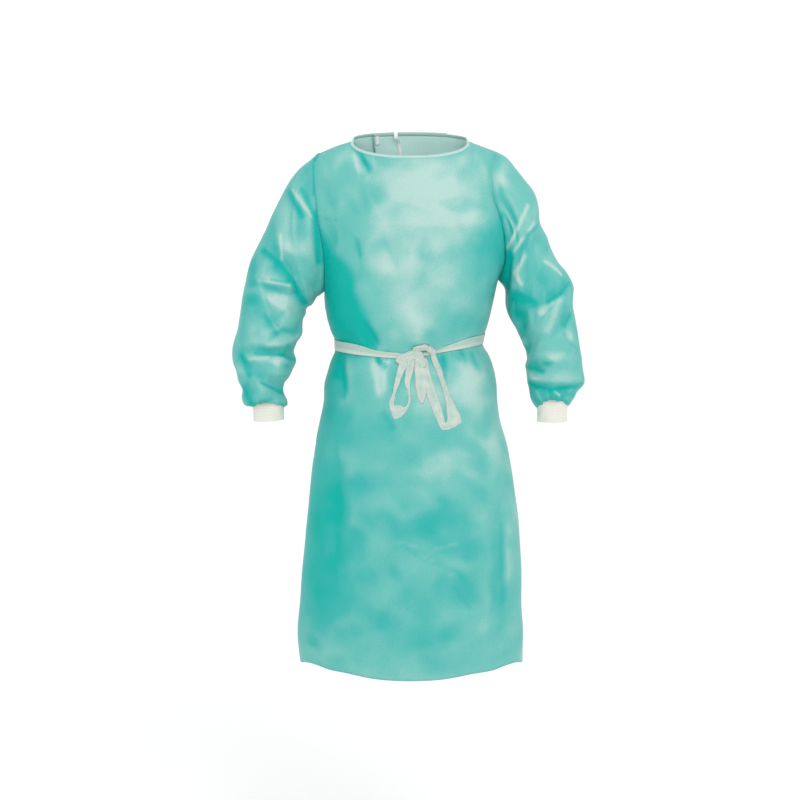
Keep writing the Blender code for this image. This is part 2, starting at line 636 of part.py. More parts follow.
def wall_offsets(pieces):
    """For every outer point, the way to its inner point, shared by pieces that meet there."""
    normals_at = {}
    for points, closed in pieces.values():
        normals = grid_normals(points, closed).reshape(-1, 3)
        for key, normal in zip(keys_of(points), normals):
            normals_at.setdefault(key, []).append(normal)
    offsets = {}
    for name, (points, closed) in pieces.items():
        steps = []
        for key in keys_of(points):
            found = np.array(normals_at[key])
            step = np.linalg.pinv(found, rcond=SAME_WAY) @ np.full(len(found), -WALL)
            longest = WALL / SHARP_SEAM
            steps.append(step * min(1, longest / np.linalg.norm(step)))
        offsets[name] = np.array(steps).reshape(points.shape)
    return offsets


def keys_of(points):
    return [tuple(p) for p in np.round(points.reshape(-1, 3) * 1e5).astype(int).tolist()]


def pull_back(points, offsets, edge, inside, along):
    """Moves an edge of a wall back by half the gap of its seam, along the cloth."""
    way = unit(points[inside] - points[edge])
    face = unit(np.cross(along, offsets[edge]))
    sine = np.maximum(np.abs(np.sum(way * face, -1, keepdims=True)), SHARP_SEAM)
    return way * (SEAM_GAP / 2) / sine


def sewn(points, offsets, seams):
    """The outer and inner points of a wall, with its sewn edges pulled back."""
    moves = np.zeros_like(points)
    last_row, last_column = points.shape[0] - 1, points.shape[1] - 1
    for seam, limits in seams:
        span = slice(*limits)
        edge, inside = {
            "bottom": ((0, span), (1, span)),
            "top": ((last_row, span), (last_row - 1, span)),
            "first": ((span, 0), (span, 1)),
            "last": ((span, last_column), (span, last_column - 1)),
        }[seam]
        along = np.gradient(points[edge], axis=0)
        moves[edge] += pull_back(points, offsets, edge, inside, along)
    outer = points + moves
    return outer, outer + offsets


def height_point(line, z):
    """Where a column of points, rising from the hem, first reaches a height."""
    i = int(np.argmax(line[:, 2] > z)) - 1
    share = (z - line[i, 2]) / (line[i + 1, 2] - line[i, 2])
    return line[i] + share * (line[i + 1] - line[i])


def belt_points(front, back):
    """The back and the front face of the belt round the body, off the plain panels."""
    low, high = [], []
    for grid, table in ((front, BELT_FRONT), (back, BELT_BACK)):
        for j in range(grid.shape[1] - 1):
            x = height_point(grid[:, j], table.rows[1, 1])[0]
            z, half = table.at("z", x), table.at("half_width", x)
            low.append(height_point(grid[:, j], z - half))
            high.append(height_point(grid[:, j], z + half))
    low, high = np.array(low), np.array(high)
    middle = (low + high) / 2
    along = np.roll(middle, -1, 0) - np.roll(middle, 1, 0)
    outward = unit(np.cross(along, high - low))
    inner = np.stack([low, high]) + outward * BELT_LIFT
    return inner + outward * TAPE, inner


def surface_of(*mesh_objects):
    """The faces of one or more objects, to cast rays at."""
    points, faces = [], []
    for item in mesh_objects:
        base = len(points)
        points += [v.co for v in item.data.vertices]
        faces += [[base + i for i in p.vertices] for p in item.data.polygons]
    return BVHTree.FromPolygons(points, faces)


def strip_on(surface, pairs, across):
    """Points and normals of a strip on a panel, seen from the front, between two edges."""
    points, normals = [], []
    for x0, z0, x1, z1 in pairs:
        for share in np.linspace(0, 1, across):
            x, z = x0 + (x1 - x0) * share, z0 + (z1 - z0) * share
            place, normal, _, _ = surface.ray_cast(Vector((x, -1, z)), Vector((0, 1, 0)))
            points.append(tuple(place))
            normals.append(tuple(normal))
    shape = (len(pairs), across, 3)
    return np.array(points).reshape(shape), np.array(normals).reshape(shape)


def bow_strip(name, surface, table, collection):
    """A strip of the bow: its back follows the gown, moved out by its lift."""
    points, normals = strip_on(surface, table.rows[:, 1:5], BOW_ACROSS)
    inner = points + normals * table.rows[:, 5][:, None, None]
    return wall_object(name, inner + normals * TAPE, inner, False, TAPE_WHITE, collection)


def round_cells(cells):
    """A square grid drawn in to a round outline, as shares from -1 to 1, and its height."""
    u, v = np.meshgrid(np.linspace(-1, 1, cells + 1), np.linspace(-1, 1, cells + 1), indexing="ij")
    x, y = u * np.sqrt(1 - ROUND_CORNER * v * v), v * np.sqrt(1 - ROUND_CORNER * u * u)
    crown = (1 - u**2) * (1 - v**2)
    return x, y, crown


def belt_knot(surface, collection):
    """The knot: a domed pad in front of the belt."""
    x, z, crown = round_cells(KNOT_CELLS)
    pairs = [
        (KNOT_MIDDLE[0] + KNOT_HALF[0] * x[i, j], KNOT_MIDDLE[1] + KNOT_HALF[1] * z[i, j]) * 2
        for i in range(KNOT_CELLS + 1)
        for j in range(KNOT_CELLS + 1)
    ]
    points, normals = strip_on(surface, pairs, 1)
    shape = (KNOT_CELLS + 1, KNOT_CELLS + 1, 3)
    points, normals = points.reshape(shape), normals.reshape(shape)
    inner = points + normals * KNOT_LIFT
    thick = KNOT_THICK[0] + (KNOT_THICK[1] - KNOT_THICK[0]) * crown[..., None]
    return wall_object("belt_knot", inner + normals * thick, inner, False, TAPE_WHITE, collection)


def neck_binding(walls, collection):
    """The strip that closes the neck edge, from the outer back half by the front to the
    inner back half: it stands on the cloth's edge and goes on in the cloth's own way."""
    edge, edge_in, below = [], [], []
    for outer, inner, columns in walls:
        edge += [outer[-1, j] for j in columns]
        edge_in += [inner[-1, j] for j in columns]
        below += [outer[-2, j] for j in columns]
    edge, edge_in, below = np.array(edge), np.array(edge_in), np.array(below)
    out = unit(edge - edge_in)
    ways = unit(np.gradient(edge, axis=0))
    up = unit(np.cross(out, ways))
    rise = unit(edge - below)
    rise = unit(rise - np.sum(rise * ways, -1, keepdims=True) * ways)
    lean = unit(up + rise)
    foot, foot_in = edge + up * BINDING_GAP, edge_in + up * BINDING_GAP
    for _ in range(BINDING_EVEN):
        lean[1:-1] = unit(lean[:-2] + 2 * lean[1:-1] + lean[2:])
        out[1:-1] = unit(out[:-2] + 2 * out[1:-1] + out[2:])
    low, top = foot + lean * BINDING_BEVEL, foot + lean * BINDING_DEPTH
    sections = [
        foot,
        low + out * BINDING_RAISE,
        top + out * BINDING_RAISE,
        top - out * (WALL + BINDING_RAISE),
        low - out * (WALL + BINDING_RAISE),
        foot_in,
    ]
    return tube_object("neck_binding", np.stack(sections, 1), BINDING_WHITE, collection)


def tube_object(name, sections, look, collection):
    """A closed solid through sections, with a flat face at each end."""
    stations, sides = sections.shape[:2]
    faces = []
    for i in range(stations - 1):
        for j in range(sides):
            k = (j + 1) % sides
            faces.append((i * sides + j, i * sides + k, (i + 1) * sides + k, (i + 1) * sides + j))
    faces.append(tuple(range(sides))[::-1])
    faces.append(tuple((stations - 1) * sides + j for j in range(sides)))
    mesh = bpy.data.meshes.new(name)
    mesh.from_pydata(sections.reshape(-1, 3).tolist(), [], faces)
    if signed_volume(mesh) < 0:
        mesh.flip_normals()
    mesh.shade_smooth()
    mesh.materials.append(cloth_material(name, look))
    made = bpy.data.objects.new(name, mesh)
    collection.objects.link(made)
    return made


def inside_point(surface, x, z):
    """Where a ray from inside the gown meets a back half, and the way back inside."""
    place, normal, _, _ = surface.ray_cast(Vector((x, 0, z)), Vector((0, 1, 0)))
    return np.array(place), np.array(normal)


def outside_point(surface, x, z):
    """Where a ray from behind the gown meets a back half, and the way back outside."""
    place, normal, _, _ = surface.ray_cast(Vector((x, 1, z)), Vector((0, -1, 0)))
    return np.array(place), np.array(normal)


def neck_tie_short(surface, free_edge, collection):
    """The short free end that hangs inside from the corner of the inner back half."""
    rows, backs = [], []
    for z, lift in TIE_SHORT.rows:
        x = height_point(free_edge, z)[0] + TIE_INSET
        for share in (-0.5, 0.5):
            place, normal = inside_point(surface, x + share * TIE_WIDTH, z)
            rows.append(place + normal * (lift + TAPE))
            backs.append(place + normal * lift)
    shape = (len(TIE_SHORT.rows), 2, 3)
    outer, inner = np.array(rows).reshape(shape), np.array(backs).reshape(shape)
    return wall_object("neck_tie_short", outer, inner, False, BINDING_WHITE, collection)


def neck_tie_long(within, outside, binding, collection):
    """The long tie: from its knot outside the back, over the neck edge, and down inside."""
    x = TIE_LONG_X[0]
    edge_z = tie_edge_z()
    crossed = [v.co for v in binding.data.vertices if abs(v.co.x - x) < TIE_NEAR and v.co.y > 0]
    over_z = max(p.z for p in crossed) + TIE_CLEAR
    outer_y = max(outside_point(outside, x, edge_z - d)[0][1] for d in TIE_PROBES)
    outer_y = max(outer_y, max(p.y for p in crossed)) + TIE_CLEAR + TAPE
    inner_y = min(inside_point(within, x, edge_z - d)[0][1] for d in TIE_PROBES)
    inner_y = min(inner_y, min(p.y for p in crossed)) - TIE_CLEAR - TAPE
    line = [
        (x, outer_y, edge_z - TIE_LONG_OUTSIDE),
        (x, outer_y, edge_z - TIE_LONG_OUTSIDE / 2),
        (x, outer_y, edge_z),
        (x, outer_y, edge_z + BINDING_DEPTH),
        (x, outer_y - TAPE, over_z + TAPE),
        (x, (outer_y + inner_y) / 2, over_z + 1.5 * TAPE),
        (x, inner_y + TAPE, over_z + TAPE),
        (x, inner_y, edge_z + BINDING_DEPTH),
        (x, inner_y, edge_z),
        (x, inner_y, edge_z - TIE_PROBES[1]),
    ]
    for share in np.linspace(1 / TIE_LONG_ROWS, 1, TIE_LONG_ROWS):
        z = edge_z - TIE_LONG_DOWN * share
        x = TIE_LONG_X[0] + (TIE_LONG_X[1] - TIE_LONG_X[0]) * share
        line.append((x, inside_point(within, x, z)[0][1] - TIE_CLEAR - TAPE, z))
    line = np.array(line)
    out = unit(np.cross(np.gradient(line, axis=0), np.array([1.0, 0, 0])))
    if out[0, 1] < 0:
        out = -out
    half = np.array([TIE_WIDTH / 2, 0, 0])
    outer = np.stack([line - half, line + half], 1)
    return wall_object(
        "neck_tie_long", outer, outer - out[:, None, :] * TAPE, False, BINDING_WHITE, collection
    )


def tie_edge_z():
    """Height of the neck edge where the long tie crosses it."""
    edge = neck_edge(NECK_BACK, BACK_COLUMNS)
    return float(np.interp(TIE_LONG_X[0], edge[:, 0], edge[:, 2]))


def neck_tie_knot(outside, collection):
    """The small knot of the neck ties, outside the back."""
    x, z, crown = round_cells(TIE_KNOT_CELLS)
    centre_z = tie_edge_z() - TIE_LONG_OUTSIDE - TIE_KNOT_HALF[1] - TIE_CLEAR
    points, normals = [], []
    for a, b in zip(x.ravel(), z.ravel()):
        place, normal = outside_point(
            outside, TIE_LONG_X[0] + TIE_KNOT_HALF[0] * a, centre_z + TIE_KNOT_HALF[1] * b
        )
        points.append(place)
        normals.append(normal)
    shape = (TIE_KNOT_CELLS + 1, TIE_KNOT_CELLS + 1, 3)
    points, normals = np.array(points).reshape(shape), np.array(normals).reshape(shape)
    inner = points + normals * BELT_LIFT
    thick = TIE_KNOT_THICK[0] + (TIE_KNOT_THICK[1] - TIE_KNOT_THICK[0]) * crown[..., None]
    return wall_object(
        "neck_tie_knot", inner + normals * thick, inner, False, BINDING_WHITE, collection
    )


def cuff(name, table, collection):
    """A knitted cuff: ribs on its outer points over a plain inside."""
    turn = 2 * math.pi * np.arange(CUFF_COLUMNS) / CUFF_COLUMNS
    rings = np.array(
        [ring_points((r[1], 0, r[2]), (r[3], 0, r[4]), r[5], r[6], turn, 1.0) for r in table.rows]
    )
    normals = grid_normals(rings, True)
    rib = np.where(np.arange(CUFF_COLUMNS) % 2 == 0, 0.0, -CUFF_RIB)[None, :, None]
    inner = rings - normals * CUFF_WALL
    return wall_object(name, rings + normals * rib, inner, True, KNIT, collection)


def gown_grids():
    """Outer points of the panels and sleeves, before and after their creases."""
    front = panel_grid(0.0, math.pi, FRONT_COLUMNS, NECK_FRONT, -ARMHOLE_FRONT)
    back = panel_grid(math.pi, 2 * math.pi, BACK_COLUMNS, NECK_BACK, ARMHOLE_BACK)
    plain = {
        "front_panel": (front, False),
        "back_right_panel": (back[:, BACK_COLUMNS - LAP_COLUMNS :], False),
        "back_left_panel": (lap_inside(back[:, : LAP_COLUMNS + 1]), False),
        "sleeve_right": (sleeve_grid(SLEEVE_RIGHT, ARMHOLE_RIGHT), True),
        "sleeve_left": (sleeve_grid(SLEEVE_LEFT, ARMHOLE_LEFT), True),
    }
    creased = {}
    for name, (points, closed) in plain.items():
        fade = fade_edges(points.shape[:2], closed)
        creased[name] = (crease(points, grid_normals(points, closed), fade), closed)
    return front, back, creased


SEAMS = {
    "front_panel": (
        ("first", (None,)),
        ("last", (None,)),
        ("top", (0, SHOULDER_COLUMNS + 1)),
        ("top", (FRONT_COLUMNS - SHOULDER_COLUMNS, None)),
    ),
    "back_right_panel": (("last", (None,)), ("top", (LAP_COLUMNS - SHOULDER_COLUMNS, None))),
    "back_left_panel": (("first", (None,)), ("top", (0, SHOULDER_COLUMNS + 1))),
    "sleeve_right": (("bottom", (None,)),),
    "sleeve_left": (("bottom", (None,)),),
}


def build(collection):
    front, back, pieces = gown_grids()
    offsets = wall_offsets(pieces)
    made, walls = {}, {}
    for name, (points, closed) in pieces.items():
        outer, inner = sewn(points, offsets[name], SEAMS[name])
        made[name] = wall_object(name, outer, inner, closed, TEAL, collection)
        walls[name] = points, points + offsets[name]
    cuff("cuff_right", CUFF_RIGHT, collection)
    cuff("cuff_left", CUFF_LEFT, collection)
    binding = neck_binding(
        [
            (*walls[name], columns)
            for name, columns in (
                ("back_right_panel", range(LAP_COLUMNS - SHOULDER_COLUMNS + 1)),
                ("front_panel", range(SHOULDER_COLUMNS + 1, FRONT_COLUMNS - SHOULDER_COLUMNS)),
                ("back_left_panel", range(SHOULDER_COLUMNS, LAP_COLUMNS + 1)),
            )
        ],
        collection,
    )
    outer, inner = belt_points(front, back)
    wall_object("belt", outer, inner, True, TAPE_WHITE, collection)
    surface = surface_of(made["front_panel"])
    bow_strip("bow_loop_left", surface, BOW_LEFT, collection)
    bow_strip("bow_loop_right", surface, BOW_RIGHT, collection)
    bow_strip("bow_tail", surface, BOW_TAIL, collection)
    belt_knot(surface, collection)
    within, outside = surface_of(made["back_left_panel"]), surface_of(made["back_right_panel"])
    neck_tie_short(within, pieces["back_left_panel"][0][:, -1], collection)
    neck_tie_long(within, outside, binding, collection)
    neck_tie_knot(outside, collection)


def main():
    for item in list(bpy.data.objects):
        bpy.data.objects.remove(item, do_unlink=True)
    collection = bpy.data.collections.new("Hospital gown")
    bpy.context.scene.collection.children.link(collection)
    build(collection)


main()
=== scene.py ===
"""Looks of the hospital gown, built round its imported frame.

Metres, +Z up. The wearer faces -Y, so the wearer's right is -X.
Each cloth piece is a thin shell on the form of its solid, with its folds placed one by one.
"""

import math

import bpy
import numpy as np
from bpy.props import FloatProperty, FloatVectorProperty, IntProperty
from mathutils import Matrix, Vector, noise
from mathutils.bvhtree import BVHTree
from mathutils.geometry import delaunay_2d_cdt


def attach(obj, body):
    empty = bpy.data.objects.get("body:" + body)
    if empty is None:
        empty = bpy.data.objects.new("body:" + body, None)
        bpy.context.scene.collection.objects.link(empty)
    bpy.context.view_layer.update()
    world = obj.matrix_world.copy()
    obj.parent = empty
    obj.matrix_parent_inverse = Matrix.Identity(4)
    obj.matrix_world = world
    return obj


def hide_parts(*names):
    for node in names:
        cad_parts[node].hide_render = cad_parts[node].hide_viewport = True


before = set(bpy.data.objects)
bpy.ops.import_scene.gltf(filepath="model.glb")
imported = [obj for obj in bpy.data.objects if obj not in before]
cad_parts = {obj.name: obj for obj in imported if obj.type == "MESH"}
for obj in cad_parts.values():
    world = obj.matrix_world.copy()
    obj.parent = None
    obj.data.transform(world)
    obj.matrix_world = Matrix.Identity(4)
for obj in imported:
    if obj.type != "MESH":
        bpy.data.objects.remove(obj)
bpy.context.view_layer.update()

bl_info = {
    "name": "Hospital gown",
    "version": (1, 0, 0),
    "blender": (4, 5, 0),
    "location": "3D View > Sidebar > Gown",
    "description": "Builds the cloth, cuffs, tapes and studio of a worn isolation gown",
    "category": "Object",
}


def linear(code):
    """A hex sRGB colour as the linear values that a shader takes."""
    values = [int(code[i : i + 2], 16) / 255 for i in (1, 3, 5)]
    return tuple(v / 12.92 if v <= 0.04045 else ((v + 0.055) / 1.055) ** 2.4 for v in values)


def length_size(name, description, default):
    return FloatProperty(name=name, description=description, default=default, min=0, unit="LENGTH")


def share_size(name, description, default):
    return FloatProperty(name=name, description=description, default=default, min=0)


def colour(name, description, code):
    return FloatVectorProperty(
        name=name, description=description, default=linear(code), subtype="COLOR", min=0, max=1
    )


class GownSizes(bpy.types.PropertyGroup):
    cloth: length_size("Cloth", "Thickness of the nonwoven cloth", 0.0007)
    tape: length_size("Tape", "Thickness of the belt, the ties and the binding", 0.0005)
    row_step: length_size("Row step", "Distance between rows of points on the panels", 0.0060)
    ring_step: length_size("Ring step", "Distance between rings of points on the sleeves", 0.0032)
    fold_share: share_size("Folds", "Depth of the folds, as a share of their own", 1.0)
    crumple: length_size("Crumple", "Height of the small crumples of the sleeves", 0.0042)
    crumple_size: length_size("Crumple size", "Distance across one crumple", 0.034)
    seam_depth: length_size("Seam depth", "How far a sewn edge is drawn in", 0.0007)
    seam_width: length_size("Seam width", "Width of the drawn-in edge at a seam", 0.0050)
    rib_count: IntProperty(name="Ribs", description="Ribs round a cuff", default=72, min=12)
    rib_height: length_size("Rib height", "Height of a rib of the cuffs", 0.0004)


class GownColours(bpy.types.PropertyGroup):
    # The four teal shades that the tone picks: deep stands for painted shade down in the folds and
    # pale for painted highlights, as well as for the cloth's own clouds.
    deep: colour("Deep teal", "The cloth where it is dark, down in its folds", "#00A99E")
    middle: colour("Middle teal", "The cloth's plain colour", "#42AEA8")
    soft: colour("Soft teal", "The cloth where it is a little paler", "#6FBAB2")
    pale: colour("Pale teal", "The cloth where it is pale and clouded", "#ACCDC6")
    # The inner face is painted near white, paler than the cloth's own inner face, as painted light
    # for the inside of the neck where little light reaches.
    inside: colour("Inside", "The inner face of the cloth", "#F2FCFA")
    lining: colour("Inside, deep", "The inner face where it is less pale", "#D2F6F0")
    knit: colour("Knit", "The knitted cuffs", "#E7E4DA")
    tape: colour("Tape", "The belt and its bow where the tape lies double", "#C6CCC4")
    thin_tape: colour("Thin tape", "The belt and its bow where the cloth shows through", "#98BBB1")
    binding: colour("Binding", "The neck binding", "#AACFC6")
    tie: colour("Neck tie", "The two free ends of the binding", "#F9FCFA")
    floor: colour("Floor", "The studio floor and wall", "#FFFFFF")


FRONT_COLUMNS = 36
BACK_COLUMNS = 28
SHOULDER_COLUMNS = 6  # of each panel, along one shoulder seam
LAP_COLUMNS = 18  # of a back half, from its side seam to its free edge
UPPER_ROWS = 12  # from the armpits to the shoulders
SLEEVE_COLUMNS = 2 * UPPER_ROWS
ROUND_RINGS = 8  # rings over which a sleeve turns as round as its sections
BEND_RINGS = 4  # rings over which it leaves the curve of the armhole
SIDE_NECK = (0.1240, 0.0, -0.0030)  # where a shoulder seam meets the neck edge
SHOULDER_RIGHT = (-0.1973, 0.0, -0.0231)
SHOULDER_LEFT = (0.1830, 0.0, -0.0251)
ARMPIT_RIGHT_Z = -0.3183
ARMPIT_LEFT_Z = -0.2930
NECK_FRONT = (-0.081, -0.0400)  # y and z of the middle of the neck edge
NECK_BACK = (0.074, 0.0150)
NECK_SQUARENESS = 2.3
ARMHOLE_FRONT = 0.070  # how far the armhole reaches forward and back
ARMHOLE_BACK = 0.074
ARMHOLE_ROUNDNESS = 0.85
CHEST_ROLL = 2.4  # how late the chest turns over to the shoulder
NECK_ROLL = 0.90  # share of that turn left at the neck edge
LEAST_REACH = 0.05  # how early a column at the armhole turns in, against one at the neck
CHEST_SPREAD = 0.35  # share of the rows over which the columns spread evenly
SIDE_SPREAD = 0.139  # x of the columns below the side of the neck
CHEST_ARCH = (2.6, 1.25)  # how square the chest is at the armpits, and above them
RELAX_TIMES = 4
RELAX_SHARE = 0.5  # share of the way to its neighbours' mean that a point goes each time
RELAX_BELOW = 1  # rows under the armpits that are evened out with the chest
HEM_DIP = 0.010  # how much lower the front of the hem hangs
HEM_DIP_FROM = -0.70
FINE_STEPS = 241  # points of a line before it is shared out evenly
NOISE_SEED = 1795785828  # keeps the lines of the folds and of the bow the same in each run
LAP_GAP = 0.0060  # from the outer back half to the inner one
LAP_EASE = 3.5  # columns over which that gap opens


class Table:
    """Named columns of sizes, read smoothly between their rows."""

    def __init__(self, names, rows):
        self.names = names.split()
        self.rows = np.array(rows, float)
        order = np.argsort(self.rows[:, 0])
        self.columns = dict(zip(self.names, self.rows[order].T))

    def at(self, name, key):
        keys, values = self.columns[self.names[0]], self.columns[name]
        slopes = np.gradient(values, keys)
        i = np.clip(np.searchsorted(keys, key) - 1, 0, len(keys) - 2)
        width = keys[i + 1] - keys[i]
        t = np.clip((key - keys[i]) / width, 0, 1)
        return smooth_between(values[i], slopes[i] * width, values[i + 1], slopes[i + 1] * width, t)


BODY = Table("z middle half_width front back squareness", [
    (-0.285, 0.0025, 0.185, 0.124, 0.113, 2.6),
    (-0.318, -0.001, 0.1812, 0.122, 0.111, 2.6),
    (-0.335, -0.0012, 0.1804, 0.121, 0.11, 2.55),
    (-0.356, -0.004, 0.1752, 0.1185, 0.108, 2.5),
    (-0.377, -0.0033, 0.17, 0.1155, 0.105, 2.45),
    (-0.398, -0.0033, 0.1638, 0.1115, 0.101, 2.35),
    (-0.418, -0.003, 0.156, 0.106, 0.0955, 2.25),
    (-0.43, -0.001, 0.155, 0.104, 0.0935, 2.2),
    (-0.441, 0.0015, 0.1598, 0.1055, 0.0945, 2.25),
    (-0.462, 0.0021, 0.1693, 0.1115, 0.101, 2.35),
    (-0.483, 0.0021, 0.1757, 0.117, 0.107, 2.4),
    (-0.505, 0.001, 0.1811, 0.121, 0.111, 2.4),
    (-0.547, 0.0011, 0.1838, 0.125, 0.116, 2.4),
    (-0.59, 0.0, 0.191, 0.13, 0.121, 2.4),
    (-0.632, 0.0021, 0.2017, 0.135, 0.126, 2.4),
    (-0.675, 0.0033, 0.2094, 0.14, 0.131, 2.4),
    (-0.718, 0.0043, 0.215, 0.144, 0.135, 2.35),
    (-0.804, 0.0054, 0.2249, 0.151, 0.142, 2.3),
    (-0.89, 0.0045, 0.2329, 0.158, 0.149, 2.25),
    (-0.977, 0.0013, 0.2364, 0.163, 0.154, 2.2),
    (-1.02, 0.0013, 0.2405, 0.166, 0.157, 2.2),
    (-1.064, 0.0013, 0.2412, 0.168, 0.159, 2.2),
    (-1.103, 0.0029, 0.238, 0.169, 0.16, 2.2),
])

# Heights of the rows of points below the armpits, from the hem up.
LEVELS = (
    -1.103, -1.045, -0.975, -0.905, -0.835, -0.765, -0.700, -0.640, -0.588, -0.545,
    -0.510, -0.484, -0.462, -0.447, -0.432, -0.417, -0.400, -0.378, -0.350,
)

ARMHOLE_RIGHT = Table("z x", [
    (-0.3183, -0.1815),
    (-0.29, -0.1795),
    (-0.222, -0.1825),
    (-0.192, -0.188),
    (-0.15, -0.193),
    (-0.1, -0.1985),
    (-0.064, -0.2005),
    (-0.041, -0.2005),
    (-0.0231, -0.1973),
])
ARMHOLE_LEFT = Table("z x", [
    (-0.293, 0.1854),
    (-0.255, 0.197),
    (-0.219, 0.1965),
    (-0.192, 0.1935),
    (-0.157, 0.185),
    (-0.136, 0.1765),
    (-0.099, 0.17),
    (-0.074, 0.169),
    (-0.045, 0.1745),
    (-0.0251, 0.183),
])

# Rings of the sleeves, from the armhole down: the outer end and the inner end of each
# ring as the front shows them, how far forward its middle is, and its half depth.
RING_COLUMNS = "ring outer_x outer_z inner_x inner_z forward half_depth"
SLEEVE_RIGHT = Table(RING_COLUMNS, [
    (1, -0.2224, -0.0503, -0.1862, -0.3224, 0.0, 0.0735),
    (2, -0.2476, -0.0837, -0.1905, -0.3265, 0.001, 0.074),
    (3, -0.2707, -0.1254, -0.1965, -0.3307, 0.003, 0.0735),
    (4, -0.2938, -0.1672, -0.2025, -0.3369, 0.005, 0.0725),
    (5, -0.3148, -0.2089, -0.2084, -0.3431, 0.008, 0.071),
    (6, -0.3338, -0.2507, -0.2146, -0.3493, 0.011, 0.069),
    (7, -0.3444, -0.2968, -0.2208, -0.356, 0.015, 0.067),
    (8, -0.355, -0.3449, -0.2271, -0.3806, 0.019, 0.0655),
    (9, -0.3657, -0.3973, -0.23, -0.4078, 0.024, 0.064),
    (10, -0.3732, -0.4434, -0.244, -0.4413, 0.028, 0.062),
    (11, -0.37, -0.4706, -0.2365, -0.4622, 0.031, 0.06),
    (12, -0.366, -0.488, -0.248, -0.482, 0.034, 0.0575),
    (13, -0.3625, -0.505, -0.26, -0.502, 0.036, 0.055),
    (14, -0.3552, -0.5215, -0.2649, -0.522, 0.038, 0.052),
    (15, -0.3545, -0.54, -0.2607, -0.539, 0.04, 0.049),
    (16, -0.347, -0.553, -0.2605, -0.549, 0.041, 0.043),
    (17, -0.331, -0.5555, -0.264, -0.5535, 0.042, 0.03),
])
SLEEVE_LEFT = Table(RING_COLUMNS, [
    (1, 0.1985, -0.035, 0.1893, -0.2972, 0.0, 0.072),
    (2, 0.2219, -0.0628, 0.1925, -0.3023, 0.001, 0.0735),
    (3, 0.2386, -0.0837, 0.196, -0.3075, 0.002, 0.074),
    (4, 0.2553, -0.106, 0.199, -0.314, 0.004, 0.074),
    (5, 0.269, -0.1463, 0.2015, -0.3285, 0.006, 0.073),
    (6, 0.276, -0.177, 0.204, -0.348, 0.008, 0.072),
    (7, 0.2875, -0.204, 0.2085, -0.367, 0.011, 0.0705),
    (8, 0.2965, -0.23, 0.2165, -0.385, 0.014, 0.069),
    (9, 0.3121, -0.2601, 0.2269, -0.403, 0.017, 0.0675),
    (10, 0.331, -0.2883, 0.2374, -0.423, 0.02, 0.066),
    (11, 0.3407, -0.318, 0.243, -0.44, 0.023, 0.065),
    (12, 0.343, -0.355, 0.242, -0.457, 0.026, 0.064),
    (13, 0.35, -0.388, 0.24, -0.47, 0.029, 0.063),
    (14, 0.3586, -0.4326, 0.245, -0.485, 0.032, 0.061),
    (15, 0.3637, -0.4682, 0.2466, -0.499, 0.035, 0.059),
    (16, 0.3625, -0.499, 0.2455, -0.512, 0.037, 0.056),
    (17, 0.35, -0.52, 0.249, -0.526, 0.039, 0.052),
    (18, 0.344, -0.538, 0.254, -0.54, 0.041, 0.046),
    (19, 0.332, -0.551, 0.264, -0.554, 0.042, 0.031),
])

# Ends of the cuffs: heights of the outer and inner side, and the half sizes.
CUFF_RIGHT = Table(RING_COLUMNS, [
    (0, -0.331, -0.556, -0.264, -0.554, 0.042, 0.03),
    (1, -0.3294, -0.5665, -0.2646, -0.564, 0.0425, 0.0292),
    (2, -0.3288, -0.577, -0.2646, -0.5738, 0.0435, 0.029),
    (3, -0.3288, -0.5873, -0.2642, -0.5831, 0.045, 0.0293),
])
CUFF_LEFT = Table(RING_COLUMNS, [
    (0, 0.332, -0.5515, 0.264, -0.5545, 0.042, 0.031),
    (1, 0.3292, -0.564, 0.2665, -0.5655, 0.0425, 0.0292),
    (2, 0.329, -0.576, 0.2668, -0.5765, 0.0435, 0.0288),
    (3, 0.33, -0.5873, 0.266, -0.5873, 0.045, 0.0296),
])

BELT_FRONT = Table("x z half_width", [
    (-0.16, -0.4285, 0.011),
    (-0.108, -0.4353, 0.0104),
    (-0.073, -0.442, 0.0066),
    (-0.0315, -0.446, 0.0055),
    (-0.005, -0.4469, 0.005),
    (0.0512, -0.4391, 0.003),
    (0.0822, -0.431, 0.006),
    (0.1235, -0.4209, 0.01),
    (0.16, -0.4145, 0.0105),
])
BELT_BACK = Table("x z half_width", [
    (-0.16, -0.4285, 0.011),
    (0.0, -0.42, 0.011),
    (0.16, -0.4145, 0.0105),
])

# The bow, as the front shows it: the outer and the inner edge of each strip, from the
# knot on, and how far its back lies off the gown.
STRIP_COLUMNS = "place outer_x outer_z inner_x inner_z lift"
BOW_LEFT = Table(STRIP_COLUMNS, [
    (-1, 0.04, -0.4235, 0.0345, -0.434, 0.004),
    (0, 0.0465, -0.43, 0.04, -0.4405, 0.0036),
    (1, 0.0547, -0.4498, 0.0424, -0.4539, 0.0034),
    (2, 0.064, -0.4744, 0.0517, -0.4765, 0.003),
    (3, 0.0743, -0.5053, 0.063, -0.5074, 0.0026),
    (4, 0.0867, -0.5363, 0.0713, -0.5383, 0.0022),
    (5, 0.1001, -0.5631, 0.0744, -0.5652, 0.0016),
    (6, 0.1068, -0.5817, 0.0757, -0.5786, 0.0008),
    (7, 0.092, -0.592, 0.0745, -0.5817, 0.0008),
    (8, 0.0745, -0.5987, 0.073, -0.5828, 0.0008),
    (9, 0.0622, -0.595, 0.071, -0.58, 0.0008),
    (10, 0.0529, -0.5734, 0.0683, -0.5672, 0.0008),
    (11, 0.0436, -0.5528, 0.061, -0.5466, 0.0007),
    (12, 0.0353, -0.5301, 0.0538, -0.5239, 0.0006),
    (13, 0.0301, -0.5053, 0.0476, -0.5033, 0.0005),
    (14, 0.027, -0.4806, 0.0404, -0.4806, 0.0005),
    (15, 0.025, -0.459, 0.0363, -0.458, 0.001),
    (16, 0.019, -0.448, 0.029, -0.448, 0.002),
])
